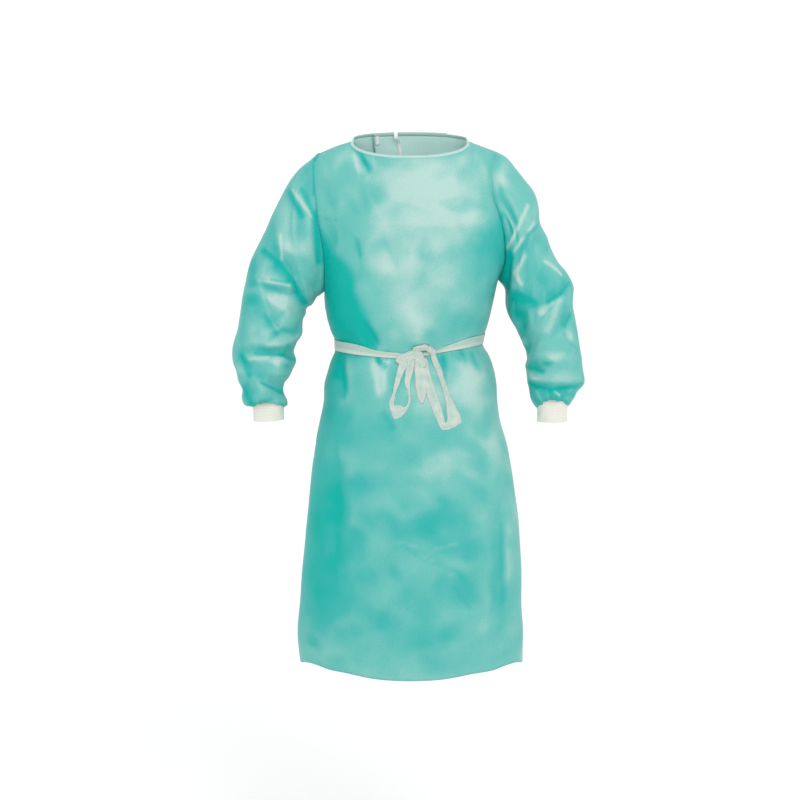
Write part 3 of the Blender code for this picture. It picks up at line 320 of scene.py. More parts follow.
BOW_RIGHT = Table(STRIP_COLUMNS, [
    (-1, -0.019, -0.449, -0.005, -0.448, 0.002),
    (0, -0.0233, -0.456, -0.004, -0.459, 0.002),
    (1, -0.0243, -0.4642, -0.007, -0.471, 0.002),
    (2, -0.029, -0.4847, -0.013, -0.48, 0.002),
    (3, -0.0335, -0.5053, -0.0243, -0.5074, 0.002),
    (4, -0.0372, -0.5239, -0.0304, -0.5259, 0.0014),
    (5, -0.0438, -0.5404, -0.0335, -0.5445, 0.0006),
    (6, -0.0397, -0.561, -0.0284, -0.5466, 0.0008),
    (7, -0.0309, -0.5759, -0.0202, -0.547, 0.001),
    (8, -0.013, -0.5652, -0.0119, -0.55, 0.0008),
    (9, -0.0027, -0.5507, -0.0072, -0.5448, 0.0006),
    (10, 0.001, -0.5363, -0.0043, -0.5352, 0.0006),
    (11, 0.0004, -0.5259, -0.0052, -0.5218, 0.0006),
    (12, -0.0007, -0.5115, -0.0099, -0.5074, 0.0006),
    (13, 0.0014, -0.495, -0.012, -0.494, 0.0006),
    (14, 0.006, -0.476, -0.0095, -0.474, 0.0006),
    (15, 0.0092, -0.459, -0.0075, -0.4601, 0.001),
    (16, 0.012, -0.448, -0.004, -0.448, 0.002),
])
BOW_TAIL = Table(STRIP_COLUMNS, [
    (-1, 0.01, -0.444, 0.024, -0.444, 0.003),
    (0, 0.008, -0.456, 0.0229, -0.456, 0.0034),
    (1, 0.0078, -0.4744, 0.0301, -0.4724, 0.0024),
    (2, 0.0096, -0.493, 0.0332, -0.4889, 0.0024),
    (3, 0.0106, -0.5136, 0.0343, -0.5095, 0.0024),
    (4, 0.0148, -0.5321, 0.0322, -0.5259, 0.0024),
    (5, 0.0209, -0.5435, 0.0271, -0.5404, 0.0024),
])

# Folds, as the front shows them, from one point to another. A depth below 0 is a
# ridge, and a sharpness of 1 is a crease while 2 is a soft trough.
FOLD_COLUMNS = "from_x from_z to_x to_z width depth sharpness"
FRONT_FOLDS = Table(FOLD_COLUMNS, [
    (-0.0933, -0.3832, -0.0687, -0.4288, 0.0084, 0.005, 1.4),
    (-0.1141, -0.3939, -0.0915, -0.4313, 0.0084, -0.003, 1.5),
    (-0.1446, -0.4421, -0.1352, -0.5225, 0.0105, 0.005, 1.5),
    (-0.0707, -0.4492, -0.0603, -0.4673, 0.0063, 0.004, 1.3),
    (-0.0521, -0.455, -0.0561, -0.5282, 0.0147, -0.004, 1.6),
    (0.0675, -0.4451, 0.0735, -0.4795, 0.0084, 0.003, 1.5),
    (-0.1081, -0.02, -0.0892, -0.06, 0.009, 0.0035, 1.4),
    (-0.1208, -0.0227, -0.1076, -0.0693, 0.0084, -0.002, 1.6),
    (-0.1113, -0.2107, -0.1032, -0.2474, 0.0084, 0.0025, 1.4),
    (-0.0212, -0.8286, 0.0096, -0.8529, 0.0084, 0.0008, 1.3),
    (0.0096, -0.8529, 0.092, -0.887, 0.0084, 0.0008, 1.3),
    (0.0301, -0.8016, 0.0528, -0.808, 0.0084, 0.0008, 1.3),
    (0.092, -0.887, 0.1232, -0.9278, 0.0105, 0.0008, 1.4),
    (0.1868, -0.7889, 0.1871, -1.0388, 0.021, 0.0026, 1.9),
    (0.1609, -0.7964, 0.1591, -1.0141, 0.0189, -0.0014, 1.9),
    (0.0299, -0.1394, 0.1018, -0.1269, 0.0168, 0.001, 1.7),
    (0.1018, -0.1269, 0.164, -0.1513, 0.0168, 0.001, 1.7),
    (0.0401, -0.1638, 0.143, -0.1596, 0.0189, -0.001, 1.8),
    (0.1243, -0.4365, 0.1449, -0.4817, 0.0084, 0.003, 1.4),
    (0.0989, -0.4253, 0.1154, -0.4602, 0.0084, 0.0025, 1.4),
    (-0.16, -0.424, -0.1206, -0.4068, 0.0084, 0.0025, 1.4),
    (-0.1496, -0.683, -0.1538, -0.8689, 0.021, 0.0035, 1.9),
    (-0.1202, -0.7017, -0.1244, -0.9077, 0.021, -0.0012, 1.9),
])
BACK_FOLDS = Table(FOLD_COLUMNS, [
    (-0.1, -0.36, -0.07, -0.418, 0.011, 0.0045, 1.4),
    (-0.12, -0.37, -0.1, -0.42, 0.009, -0.0025, 1.5),
    (0.07, -0.356, 0.05, -0.412, 0.011, 0.0045, 1.4),
    (0.11, -0.35, 0.095, -0.408, 0.009, 0.003, 1.4),
    (-0.06, -0.448, -0.07, -0.52, 0.011, 0.0045, 1.5),
    (-0.02, -0.445, -0.015, -0.495, 0.009, 0.003, 1.4),
    (0.05, -0.442, 0.056, -0.498, 0.009, 0.003, 1.4),
    (0.09, -0.442, 0.105, -0.51, 0.011, 0.0045, 1.5),
    (-0.13, -0.45, -0.145, -0.53, 0.011, 0.004, 1.5),
    (-0.15, -0.7, -0.165, -0.98, 0.022, 0.0045, 1.9),
    (0.13, -0.64, 0.15, -0.94, 0.022, 0.0045, 1.9),
    (-0.09, -0.14, 0.02, -0.17, 0.018, 0.0025, 1.8),
    (0.05, -0.12, 0.14, -0.155, 0.018, 0.0025, 1.8),
])

# Creases of the sleeves, as the front shows them. The cloth lies flat between them, as
# crisp cloth does: a lift above 0 is a ridge.
CREASE_COLUMNS = "from_x from_z to_x to_z lift"
SLEEVE_RIGHT_CREASES = Table(CREASE_COLUMNS, [
    (-0.2987, -0.2353, -0.2666, -0.2494, -0.0068),
    (-0.2666, -0.2494, -0.2384, -0.2902, -0.0081),
    (-0.2384, -0.2902, -0.22, -0.347, -0.0068),
    (-0.2647, -0.2248, -0.1975, -0.2514, 0.0068),
    (-0.3145, -0.2904, -0.2467, -0.3005, 0.0068),
    (-0.3038, -0.3065, -0.2508, -0.323, -0.0054),
    (-0.3014, -0.3247, -0.2489, -0.3619, 0.0054),
    (-0.293, -0.3613, -0.2707, -0.3981, -0.0054),
    (-0.3243, -0.439, -0.2633, -0.4417, -0.0068),
    (-0.2633, -0.4417, -0.2352, -0.4566, -0.0068),
    (-0.3346, -0.4229, -0.267, -0.427, 0.0041),
    (-0.3322, -0.4552, -0.259, -0.4602, 0.0047),
    (-0.3473, -0.4477, -0.33, -0.4817, -0.0047),
    (-0.301, -0.4995, -0.2606, -0.5254, -0.0054),
    (-0.3396, -0.5115, -0.3306, -0.5451, -0.0054),
    (-0.1986, -0.0423, -0.1975, -0.1107, -0.0034),
    (-0.256, -0.1097, -0.2409, -0.1371, -0.0047),
    (-0.2409, -0.1371, -0.2238, -0.1556, -0.0041),
    (-0.2436, -0.1062, -0.2054, -0.1577, 0.0041),
    (-0.2221, -0.1167, -0.2033, -0.1474, -0.0041),
    (-0.1891, -0.1719, -0.1868, -0.3119, -0.0068),
    (-0.2767, -0.3919, -0.2334, -0.377, 0.0041),
    (-0.3113, -0.3919, -0.2911, -0.4204, 0.0041),
    (-0.303, -0.4771, -0.2568, -0.4883, 0.0041),
])
SLEEVE_LEFT_CREASES = Table(CREASE_COLUMNS, [
    (0.2395, -0.1412, 0.2002, -0.225, 0.0047),
    (0.2536, -0.1801, 0.2122, -0.2351, 0.0047),
    (0.2224, -0.1719, 0.1962, -0.2292, -0.0041),
    (0.2446, -0.2127, 0.2242, -0.2411, -0.0041),
    (0.2323, -0.2411, 0.2204, -0.2943, 0.0047),
    (0.1985, -0.2372, 0.2018, -0.3076, -0.0068),
    (0.2739, -0.2514, 0.3112, -0.2766, 0.0054),
    (0.331, -0.2989, 0.3093, -0.321, -0.0068),
    (0.3093, -0.321, 0.2772, -0.3369, -0.0081),
    (0.2772, -0.3369, 0.2412, -0.3495, -0.0068),
    (0.3174, -0.3272, 0.2752, -0.3511, 0.0054),
    (0.2132, -0.3274, 0.253, -0.3288, -0.0054),
    (0.2255, -0.352, 0.2364, -0.4036, -0.0068),
    (0.3376, -0.3668, 0.3141, -0.3877, -0.0054),
    (0.3182, -0.396, 0.3378, -0.4233, 0.0054),
    (0.2465, -0.4699, 0.2697, -0.4738, -0.0054),
    (0.2769, -0.4363, 0.3052, -0.473, 0.0041),
    (0.2554, -0.3923, 0.2891, -0.4221, 0.0041),
    (0.2464, -0.5115, 0.2962, -0.5188, -0.0054),
    (0.2962, -0.5188, 0.3522, -0.5146, -0.0054),
    (0.2464, -0.4991, 0.3522, -0.5022, 0.0041),
    (0.1759, -0.0694, 0.1919, -0.1066, 0.0041),
    (0.1815, -0.1044, 0.1835, -0.1435, -0.0054),
    (0.2568, -0.2859, 0.29, -0.3104, -0.0041),
])

FLOOR_SIZE = 14.0
FLOOR_Z = -1.60
FLOOR_CORNER = (1.6, 12)  # size and steps of the curve from the floor to the wall
CAMERA_PLACE = (-0.0212, -4.0, -0.195)
CAMERA_DROP = 0.352  # how far its aim falls on the way to the gown
CAMERA_DOWN = math.atan(CAMERA_DROP / -CAMERA_PLACE[1])
SENSOR_WIDTH = 36.0
PICTURE_WIDTH = 800
FOCAL_LENGTH = 1894  # in pixels of the picture
CAMERA_LENS = FOCAL_LENGTH / PICTURE_WIDTH * SENSOR_WIDTH
LIGHTS = (
    ("key_light", (1.3, -3.2, 2.6), (0.0, 0.0, -0.4), 1.6, 40.0),
    ("fill_light", (-2.2, -3.4, 0.8), (0.0, 0.0, -0.5), 2.2, 6.0),
)
WORLD_COLOUR = (1.0, 1.0, 1.0)
WORLD_STRENGTH = 1.0


def unit(vectors):
    lengths = np.linalg.norm(vectors, axis=-1, keepdims=True)
    return vectors / np.maximum(lengths, 1e-12)


def run_along(points, axis=0):
    """How far each point lies from the first one, along the line or the cloth."""
    steps = np.linalg.norm(np.diff(points, axis=axis), axis=-1)
    return np.concatenate([0 * steps.take([0], axis), np.cumsum(steps, axis=axis)], axis=axis)


def smooth_between(low, low_slope, high, high_slope, t):
    """A smooth curve from one value to the next, by its slopes at both ends."""
    return (
        low * (1 + 2 * t) * (1 - t) ** 2
        + low_slope * t * (1 - t) ** 2
        + high * t * t * (3 - 2 * t)
        - high_slope * t * t * (1 - t)
    )


def clamped(values):
    """Values kept between 0 and 1."""
    return np.clip(values, 0, 1)


def ease(share):
    """A share from 0 to 1 that starts and ends slowly."""
    share = clamped(share)
    return share * share * (3 - 2 * share)


def grid_normals(points, closed):
    """Outward normals of a grid whose columns turn from -X by the front to +X."""
    if closed:
        along = np.roll(points, -1, 1) - np.roll(points, 1, 1)
    else:
        along = np.gradient(points, axis=1)
    normals = unit(np.cross(along, np.gradient(points, axis=0)))
    if closed:
        from_middle = points - points.mean(axis=1, keepdims=True)
        if np.sum(normals * from_middle) < 0:
            normals = -normals
    return normals


def body_point(z, angle):
    """A point of the body: the angle turns from -X by the front to +X and on by the back."""
    depth = np.where(np.sin(angle) >= 0, BODY.at("front", z), BODY.at("back", z))
    power = BODY.at("squareness", z)
    across = np.abs(np.cos(angle)) / BODY.at("half_width", z)
    forward = np.abs(np.sin(angle)) / depth
    radius = (across**power + forward**power) ** (-1 / power)
    x = BODY.at("middle", z) - radius * np.cos(angle)
    return np.stack([x, -radius * np.sin(angle), z + 0 * angle], -1)


def even_angles(z, first, last, columns):
    """Angles that share out a section's length evenly."""
    fine = np.linspace(first, last, FINE_STEPS)
    run = run_along(body_point(np.full(FINE_STEPS, z), fine))
    return np.interp(np.linspace(0, run[-1], columns + 1), run, fine)


def neck_edge(middle, columns):
    """The neck edge from -X to +X by the front or by the back, evenly spaced."""
    reach, rise = middle
    fine = np.linspace(0, math.pi, FINE_STEPS)
    flat = np.abs(np.sin(fine)) ** (2 / NECK_SQUARENESS)
    across = -np.sign(np.cos(fine)) * np.abs(np.cos(fine)) ** (2 / NECK_SQUARENESS)
    rise = rise - SIDE_NECK[2]
    line = np.stack([SIDE_NECK[0] * across, reach * flat, SIDE_NECK[2] + rise * flat], -1)
    run = run_along(line)
    even = np.linspace(0, run[-1], columns + 1)
    return np.stack([np.interp(even, run, line[:, k]) for k in range(3)], -1)


def top_edge(middle, columns):
    """Shoulder seam, neck edge and shoulder seam of a panel, from -X to +X."""
    neck = neck_edge(middle, columns - 2 * SHOULDER_COLUMNS)
    steps = np.linspace(0, 1, SHOULDER_COLUMNS + 1)[:-1, None]
    right = np.array(SHOULDER_RIGHT) * (1 - steps) + neck[0] * steps
    left = np.array(SHOULDER_LEFT) * (1 - steps) + neck[-1] * steps
    return np.concatenate([right, neck, left[::-1]])


def armhole_edge(table, bulge):
    """One edge of an armhole, from the armpit up to the shoulder."""
    share = np.linspace(0, 1, UPPER_ROWS + 1)
    low, high = table.rows[0, 0], table.rows[-1, 0]
    z = low + (high - low) * (1 - np.cos(math.pi * share)) / 2
    y = bulge * np.abs(np.sin(math.pi * share)) ** ARMHOLE_ROUNDNESS
    return np.stack([table.at("x", z), y, z], -1)


def panel_grid(first, last, columns, neck_middle, bulge):
    """Outer points of the whole front or the whole back, rows from the hem up."""
    across = np.linspace(0, 1, columns + 1)
    if first > 0:
        across = across[::-1]  # the back's columns run from +X to -X
    armpit_z = ARMPIT_RIGHT_Z + (ARMPIT_LEFT_Z - ARMPIT_RIGHT_Z) * across
    rows = []
    for level in LEVELS:
        angles = even_angles(level, first, last, columns)
        share = clamped((HEM_DIP_FROM - level) / (HEM_DIP_FROM - LEVELS[0]))
        dip = HEM_DIP * share * clamped(np.sin(angles)) ** 2
        rows.append(body_point(level - dip, angles))
    base = body_point(armpit_z, even_angles(armpit_z.mean(), first, last, columns))
    top = top_edge(neck_middle, columns)
    ends = armhole_edge(ARMHOLE_RIGHT, bulge), armhole_edge(ARMHOLE_LEFT, bulge)
    if first > 0:
        top, ends = top[::-1], ends[::-1]
    depth = math.copysign(1, bulge) * BODY.at("front" if bulge < 0 else "back", armpit_z)
    return relaxed(np.array(rows + upper_rows(base, top, ends, depth)))


def relaxed(grid):
    """Evens out the cloth above the waist, between its own edges."""
    first = len(LEVELS) - RELAX_BELOW
    for _ in range(RELAX_TIMES):
        mean = (grid[:-2, 1:-1] + grid[2:, 1:-1] + grid[1:-1, :-2] + grid[1:-1, 2:]) / 4
        grid[first:-1, 1:-1] += RELAX_SHARE * (mean[first - 1 :] - grid[first:-1, 1:-1])
    return grid


def upper_rows(base, top, ends, depth):
    """Rows from the armpits up to the shoulder seams and the neck edge: the columns
    spread from the section's own places to even ones, and then turn over to the top."""
    count = len(base) - 1
    seams = [0, SHOULDER_COLUMNS, count - SHOULDER_COLUMNS, count]
    inward = np.minimum(np.arange(count + 1), count - np.arange(count + 1)) / SHOULDER_COLUMNS
    start_share = (base[:, 0] - base[0, 0]) / (base[-1, 0] - base[0, 0])
    roll = 1 - (1 - NECK_ROLL) * ease(inward - 1)
    reach = np.maximum(ease(inward), LEAST_REACH)
    rows = []
    for i in range(UPPER_ROWS + 1):
        up = (1 - math.cos(math.pi * i / UPPER_ROWS)) / 2
        turn = (1 - (1 - (up * roll) ** CHEST_ROLL) ** (1 / CHEST_ROLL)) / (
            1 - (1 - roll**CHEST_ROLL) ** (1 / CHEST_ROLL)
        )
        spread = ease(i / UPPER_ROWS / CHEST_SPREAD)
        start, end = ends[0][i], ends[1][i]
        side = math.copysign(SIDE_SPREAD, start[0])
        even = np.interp(np.arange(count + 1), seams, [start[0], side, -side, end[0]])
        share = start_share + ((even - start[0]) / (end[0] - start[0]) - start_share) * spread
        power = CHEST_ARCH[0] + (CHEST_ARCH[1] - CHEST_ARCH[0]) * spread
        arch = (1 - np.abs(2 * share - 1) ** CHEST_ARCH[0]) ** (1 / power)
        late = turn ** (1 / reach)
        arch = arch + (1 - arch) * late
        x = (start[0] + (end[0] - start[0]) * share) * (1 - late) + top[:, 0] * late
        y = start[1] * (1 - arch) + (depth * (1 - turn) + top[:, 1] * turn) * arch
        row = np.stack([x, y, base[:, 2] + (top[:, 2] - base[:, 2]) * up], -1)
        row[0], row[-1] = start, end
        rows.append(row)
    return rows


def sleeve_grid(table, armhole_table):
    """Outer points of a sleeve, rings from the armhole down to the cuff."""
    front = armhole_edge(armhole_table, -ARMHOLE_FRONT)
    back = armhole_edge(armhole_table, ARMHOLE_BACK)
    first = np.concatenate([front[::-1], back[1:-1]])
    turn = 2 * math.pi * np.arange(SLEEVE_COLUMNS) / SLEEVE_COLUMNS
    straight = ring_points(front[-1], front[0], 0.0, 0.0, turn, 1.0)
    bend = first - straight
    bend[:, 1:] = 0
    rings = [first]
    for ring, row in enumerate(table.rows):
        roundness = ARMHOLE_ROUNDNESS + (1 - ARMHOLE_ROUNDNESS) * min(1, ring / ROUND_RINGS)
        left = max(0.0, 1 - (ring + 1) / BEND_RINGS)
        rings.append(table_ring(row, turn, roundness) + bend * left)
    return np.array(rings)


def ring_points(outer, inner, forward, half_depth, turn, roundness):
    """A ring from its outer end by the front to its inner end and back."""
    outer, inner = np.array(outer, float), np.array(inner, float)
    middle = (outer + inner) / 2 - np.array([0, forward, 0])
    reach = np.sign(np.sin(turn)) * np.abs(np.sin(turn)) ** roundness
    return (
        middle
        + np.cos(turn)[:, None] * (outer - inner) / 2
        - reach[:, None] * np.array([0, half_depth, 0])
    )


def table_ring(row, turn, roundness):
    """The ring that a row of a sleeve's or a cuff's table describes."""
    _, outer_x, outer_z, inner_x, inner_z, forward, half_depth = row
    outer, inner = (outer_x, 0, outer_z), (inner_x, 0, inner_z)
    return ring_points(outer, inner, forward, half_depth, turn, roundness)


def lap_inside(grid):
    """Moves the inner back half in from the outer one, from the shoulder seam on."""
    columns = grid.shape[1]
    share = ease((np.arange(columns) - SHOULDER_COLUMNS) / LAP_EASE)
    return grid - grid_normals(grid, False) * (LAP_GAP * share)[None, :, None]


def height_point(line, z):
    """Where a column of points, rising from the hem, first reaches a height."""
    i = int(np.argmax(line[:, 2] > z)) - 1
    share = (z - line[i, 2]) / (line[i + 1, 2] - line[i, 2])
    return line[i] + share * (line[i + 1] - line[i])


CREASE_STEP = 0.009  # distance between the corners of the facets along a crease
CREASE_LEAST = 3  # corners of the shortest crease
CREASE_ENDS = 0.5  # share of its lift that a crease loses at its ends
FACET_SEED = 7
FACET_JITTER = 0.4  # how far a facet's corner strays, as a share of its size
FACET_CLEAR = 0.55  # least distance from a crease to a facet's corner, as such a share
FACET_WRAP = 3  # facets repeated past the seam of a sleeve's grid
FACET_MERGE = 0.0005
FACET_ROUNDING = 2
FACET_FACING = 0.05  # how far cloth has to face a side, for that side's creases
OUT_OF_REACH = 9.0  # square metres, added to what mustn't be nearest
PAINTED_LIGHT_WAY = (0.25, -0.35, 0.90)  # the way towards the painted light that pales the cloth's facets
# Strengths of the painted light and shade in the tone: of facets turned to that light, of raised
# cloth against sunken cloth, and of crests against creases.
PAINTED_LIGHT_TURN = 1.15
PAINTED_LIGHT_BY_HEIGHT = 26.0
PAINTED_LIGHT_ON_CRESTS = 130.0
PAINTED_LIGHT_CREST_ROUNDING = 14
TONE_PLAIN = 0.55
TONE_DRIFTS = ((0.045, 0.055), (0.035, 0.022))  # how much the tone drifts, and over what length
TONE_FACING = 4  # how soon cloth faces a side enough for all of that side's marks
MARK_END = 0.0030
BELT_REACH = 0.0045  # past the belt's edges, where it still presses the cloth
SEAM_TURN = 0.0045  # of the seam allowances, turned in
EDGE_TURN = 0.0004  # of the edges that are bound or left free
SEAM_SHADE = 0.10
FOLD_WANDER = (0.0040, 0.045)  # how far a fold's line wanders, and over what length
FOLD_REACH = 4.0  # a fold ends this many widths from its line
FOLD_LEAN = 0.35  # how much broader a fold is on one side than on the other
FOLD_ENDS = 0.55  # share of its depth that a fold loses at its ends
FOLD_FACING = 2
EDGE_FADE = 0.030  # distance from a seam at which the folds are at full depth
SWELL = (0.0022, 0.070)  # height and length of the broad swells
PANEL_CRUMPLE = 0.30  # of the height of the sleeves' crumples
GATHER_LENGTH = 0.036  # of the gathers above a cuff
GATHER_COUNT = 23
GATHER_HEIGHT = 0.0015
GATHER_BROAD = (9, 0.8)  # number and height of the broader gathers, against the others
GATHER_SHADE = 0.10
SLEEVE_END_RINGS = 8
SLEEVE_RISE = 0.0095
SLEEVE_RISE_REACH = 0.070
SLEEVE_FALL = 0.0055
SLEEVE_FALL_REACH = 0.030
SLEEVE_TONE_SHARE = 0.42  # of the painted light and shade that their own crumples put into the tone of the sleeves
SLEEVE_PALER = 0.06  # how much paler than the panels the sleeves are
BACK_SHARE = 0.45  # of the strength of the painted highlight and shade marks, on the hidden side of the sleeves
LAP_PRESS = 0.0041  # how far the outer back half's free edge lies down on the inner one
LAP_REACH = 0.015
# Where the worn cloth has settled: the place, how far round it, and the move.
SETTLED = Table("x y z reach move_x move_z", [
    (-0.19, 0.0, -0.045, 0.032, 0.002, -0.0095),
    (0.337, -0.03, -0.305, 0.026, 0.006, 0.0),
    (0.353, -0.04, -0.508, 0.02, 0.007, -0.002),
    (0.34, -0.04, -0.53, 0.012, -0.006, 0.0),
    (-0.13, -0.12, -1.12, 0.05, 0.0, 0.0085),
    (-0.18, -0.1, -1.11, 0.035, 0.0, 0.004),
    (0.125, -0.12, -1.12, 0.05, 0.0, 0.0085),
    (0.18, -0.1, -1.11, 0.035, 0.0, 0.004),
    (-0.218, -0.07, -1.104, 0.026, 0.0, 0.0055),
    (-0.201, -0.098, -1.105, 0.031, 0.0, 0.0062),
    (0.224, -0.07, -1.104, 0.026, 0.0, 0.0055),
    (0.207, -0.098, -1.105, 0.031, 0.0, 0.0062),
    (-0.203, -0.02, -0.65, 0.014, 0.004, 0.0),
])
COLUMN_FINE = 4  # fine columns for each column of a panel's solid
SLEEVE_FINE = 7
WRAP = 3  # columns repeated past the seam of a closed grid, to read it across


def read_between(values, keys, at, axis):
    """Values of a grid read smoothly between its rows or its columns."""
    values = np.moveaxis(values, axis, 0)
    slopes = np.gradient(values, keys, axis=0)
    i = np.clip(np.searchsorted(keys, at, side="right") - 1, 0, len(keys) - 2)
    width = (keys[i + 1] - keys[i])[:, None, None]
    t = ((at - keys[i]) / (keys[i + 1] - keys[i]))[:, None, None]
    found = smooth_between(values[i], slopes[i] * width, values[i + 1], slopes[i + 1] * width, t)
    return np.moveaxis(found, 0, axis)


def finer(grid, closed, row_step, column_share):
    """A grid with even rows, this far apart, and more columns."""
    keys = run_along(grid).mean(axis=1)
    rows = read_between(grid, keys, np.linspace(0, keys[-1], round(keys[-1] / row_step) + 1), 0)
    count = rows.shape[1]
    if closed:
        wrapped = np.concatenate([rows[:, -WRAP:], rows, rows[:, :WRAP]], axis=1)
        places = np.arange(count * column_share) / column_share + WRAP
        return read_between(wrapped, np.arange(count + 2.0 * WRAP), places, 1)
    places = np.arange((count - 1) * column_share + 1) / column_share
    return read_between(rows, np.arange(float(count)), places, 1)


def settled(grid):
    """A grid drawn in or out a little where the worn cloth has settled."""
    moved = grid.copy()
    for x, y, z, reach, across, up in SETTLED.rows:
        away = np.linalg.norm(grid - np.array([x, y, z]), axis=-1)
        moved += np.exp(-((away / reach) ** 2))[..., None] * np.array([across, 0, up])
    return moved


def drawn_up(grid):
    """A sleeve whose gathered end rides up at the front and hangs lower at its sides."""
    end = grid[-1].mean(axis=0)
    way = unit(grid[-SLEEVE_END_RINGS].mean(axis=0) - end)
    above = (grid - end) @ way
    ahead = grid[..., 1].mean(axis=1, keepdims=True) - grid[..., 1]
    ahead = ahead / np.abs(ahead).max(axis=1, keepdims=True)
    rise = SLEEVE_RISE * np.exp(-3 * clamped(above / SLEEVE_RISE_REACH)) * clamped(ahead) ** 2
    fall = SLEEVE_FALL * np.exp(-3 * clamped(above / SLEEVE_FALL_REACH)) * (1 - ahead**2)
    return grid + (rise - fall)[..., None] * way


def edge_distances(grid, closed, sewn):
    """How far each point is from the nearest sewn edge, along the cloth."""
    up = run_along(grid)
    away = up[-1] - up
    if "low" in sewn:
        away = np.minimum(away, up)
    if not closed:
        along = run_along(grid, 1)
        if "first" in sewn:
            away = np.minimum(away, along)
        if "last" in sewn:
            away = np.minimum(away, along[:, -1:] - along)
    return away


def facing(normals, side, soon):
    """From 0 to 1, how much the cloth faces the front, side 1, or the back, side -1."""
    return clamped(-normals[..., 1] * side * soon)


def undulations(points, size):
    """Broad soft swells, from about -1 to 1."""
    found = [noise.noise(Vector(p) / size) for p in points.reshape(-1, 3).tolist()]
    return np.array(found).reshape(points.shape[:-1])


def wandering(points):
    """The x and z of points, moved a little so that no fold is ruled straight."""
    reach, size = FOLD_WANDER
    moved = [noise.noise_vector(Vector(p) / size) for p in points.reshape(-1, 3).tolist()]
    shift = np.array(moved).reshape(points.shape)
    return points[..., [0, 2]] + reach * shift[..., [0, 2]]


def fold_heights(points, normals, folds, side):
    """How far each fold pushes each point out, as the front or the back shows them."""
    flat = wandering(points)
    heights = np.zeros(points.shape[:2])
    for x0, z0, x1, z1, width, depth, sharpness in folds.rows:
        start, run = np.array([x0, z0]), np.array([x1 - x0, z1 - z0])
        along = ((flat - start) @ run) / (run @ run)
        offset = flat - start - clamped(along)[..., None] * run
        away = np.linalg.norm(offset, axis=-1)
        steep = 1 + FOLD_LEAN * np.sign(offset @ np.array([run[1], -run[0]]))
        near = np.exp(-((away / (width * steep)) ** sharpness)) * (away < FOLD_REACH * width)
        heights -= depth * near * (1 - FOLD_ENDS * (2 * clamped(along) - 1) ** 2)
    return heights * facing(normals, side, FOLD_FACING)


def crease_corners(grid, normals, tables, along, up):
    """Corners of facets on the creases: their places on the flat cloth, and their lifts."""
    places, lifts = [], []
    for table, side in tables:
        hidden = -normals[..., 1] * side <= FACET_FACING
        for x0, z0, x1, z1, lift in table.rows:
            count = max(CREASE_LEAST, math.ceil(math.hypot(x1 - x0, z1 - z0) / CREASE_STEP))
            for share in np.linspace(0, 1, count):
                x, z = x0 + (x1 - x0) * share, z0 + (z1 - z0) * share
                away = (grid[..., 0] - x) ** 2 + (grid[..., 2] - z) ** 2 + OUT_OF_REACH * hidden
                i, j = np.unravel_index(np.argmin(away), away.shape)
                places.append((j * along, i * up))
                lifts.append(lift * (1 - CREASE_ENDS * (2 * share - 1) ** 2))
    return places, lifts


def facets(grid, normals, closed, tables, size, scatter):
    """Heights of crisp cloth: flat facets between its creases, and small ones elsewhere."""
    chance = np.random.default_rng(FACET_SEED)
    up = np.linalg.norm(np.diff(grid, axis=0), axis=-1).mean()
    along = np.linalg.norm(np.diff(grid, axis=1), axis=-1).mean()
    length, width = up * (grid.shape[0] - 1), along * (grid.shape[1] - (0 if closed else 1))
    places, lifts = crease_corners(grid, normals, tables, along, up)
    drawn = np.array(places).reshape(-1, 2)
    for a in np.arange(size / 2, width, size):
        for b in np.arange(size / 2, length - size / 4, size):
            place = np.array((a, b)) + chance.uniform(-FACET_JITTER, FACET_JITTER, 2) * size
            lift = chance.uniform(-1, 1) * scatter
            if not len(drawn) or np.hypot(*(drawn - place).T).min() > FACET_CLEAR * size:
                places.append(tuple(place))
                lifts.append(lift)
    for a in np.arange(0, width + size, size / 2):
        places += [(a, -up), (a, length + up)]
        lifts += [0.0, 0.0]
    if closed:
        wrap = FACET_WRAP * size
        near = [(p, h) for p, h in zip(places, lifts) if p[0] < wrap]
        far = [(p, h) for p, h in zip(places, lifts) if p[0] > width - wrap]
        places += [(a + width, b) for (a, b), _ in near] + [(a - width, b) for (a, b), _ in far]
        lifts += [h for _, h in near] + [h for _, h in far]
    made = delaunay_2d_cdt([Vector(p) for p in places], [], [], 0, FACET_MERGE)
    corners = [(p.x, p.y, lifts[kept[0]]) for p, kept in zip(made[0], made[3])]
    surface = BVHTree.FromPolygons(corners, made[2])
    heights = np.zeros(grid.shape[:2])
    for i, j in np.ndindex(heights.shape):
        found = surface.ray_cast(Vector((j * along, i * up, 1)), Vector((0, 0, -1)))[0]
        heights[i, j] = found.z if found else 0
    return rounded(heights, closed, FACET_ROUNDING)


def rounded(heights, closed, times):
    """Evens heights out a little, so that no crease is a knife edge."""
    for _ in range(times):
        heights[1:-1] = (heights[:-2] + 2 * heights[1:-1] + heights[2:]) / 4
        if closed:
            heights = (np.roll(heights, 1, 1) + 2 * heights + np.roll(heights, -1, 1)) / 4
        else:
            heights[:, 1:-1] = (heights[:, :-2] + 2 * heights[:, 1:-1] + heights[:, 2:]) / 4
    return heights


def gathers(grid):
    """Uneven gathers on a sleeve's end, from the cuff up: how high, and how near the cuff.
    Waves whose numbers don't divide one another keep them from repeating."""
    above = run_along(grid).mean(axis=1)
    above = (above[-1] - above)[:, None]
    turn = np.linspace(0, 2 * math.pi, grid.shape[1], endpoint=False)[None]
    reach = GATHER_LENGTH * (0.62 + 0.24 * np.sin(5 * turn + 1) + 0.14 * np.sin(11 * turn))
    near = clamped(1 - above / reach)
    wander = 1.5 * np.sin(2 * turn + 30 * above) + 0.9 * np.sin(5 * turn - 45 * above)
    wave = np.cos(GATHER_COUNT * turn + wander) * (0.6 + 0.4 * np.sin(3 * turn + 2))
    count, share = GATHER_BROAD
    broad = share * np.cos(count * turn + wander)
    return (wave * near**0.8 * (1 - 0.4 * near) + broad * near) * GATHER_HEIGHT, near


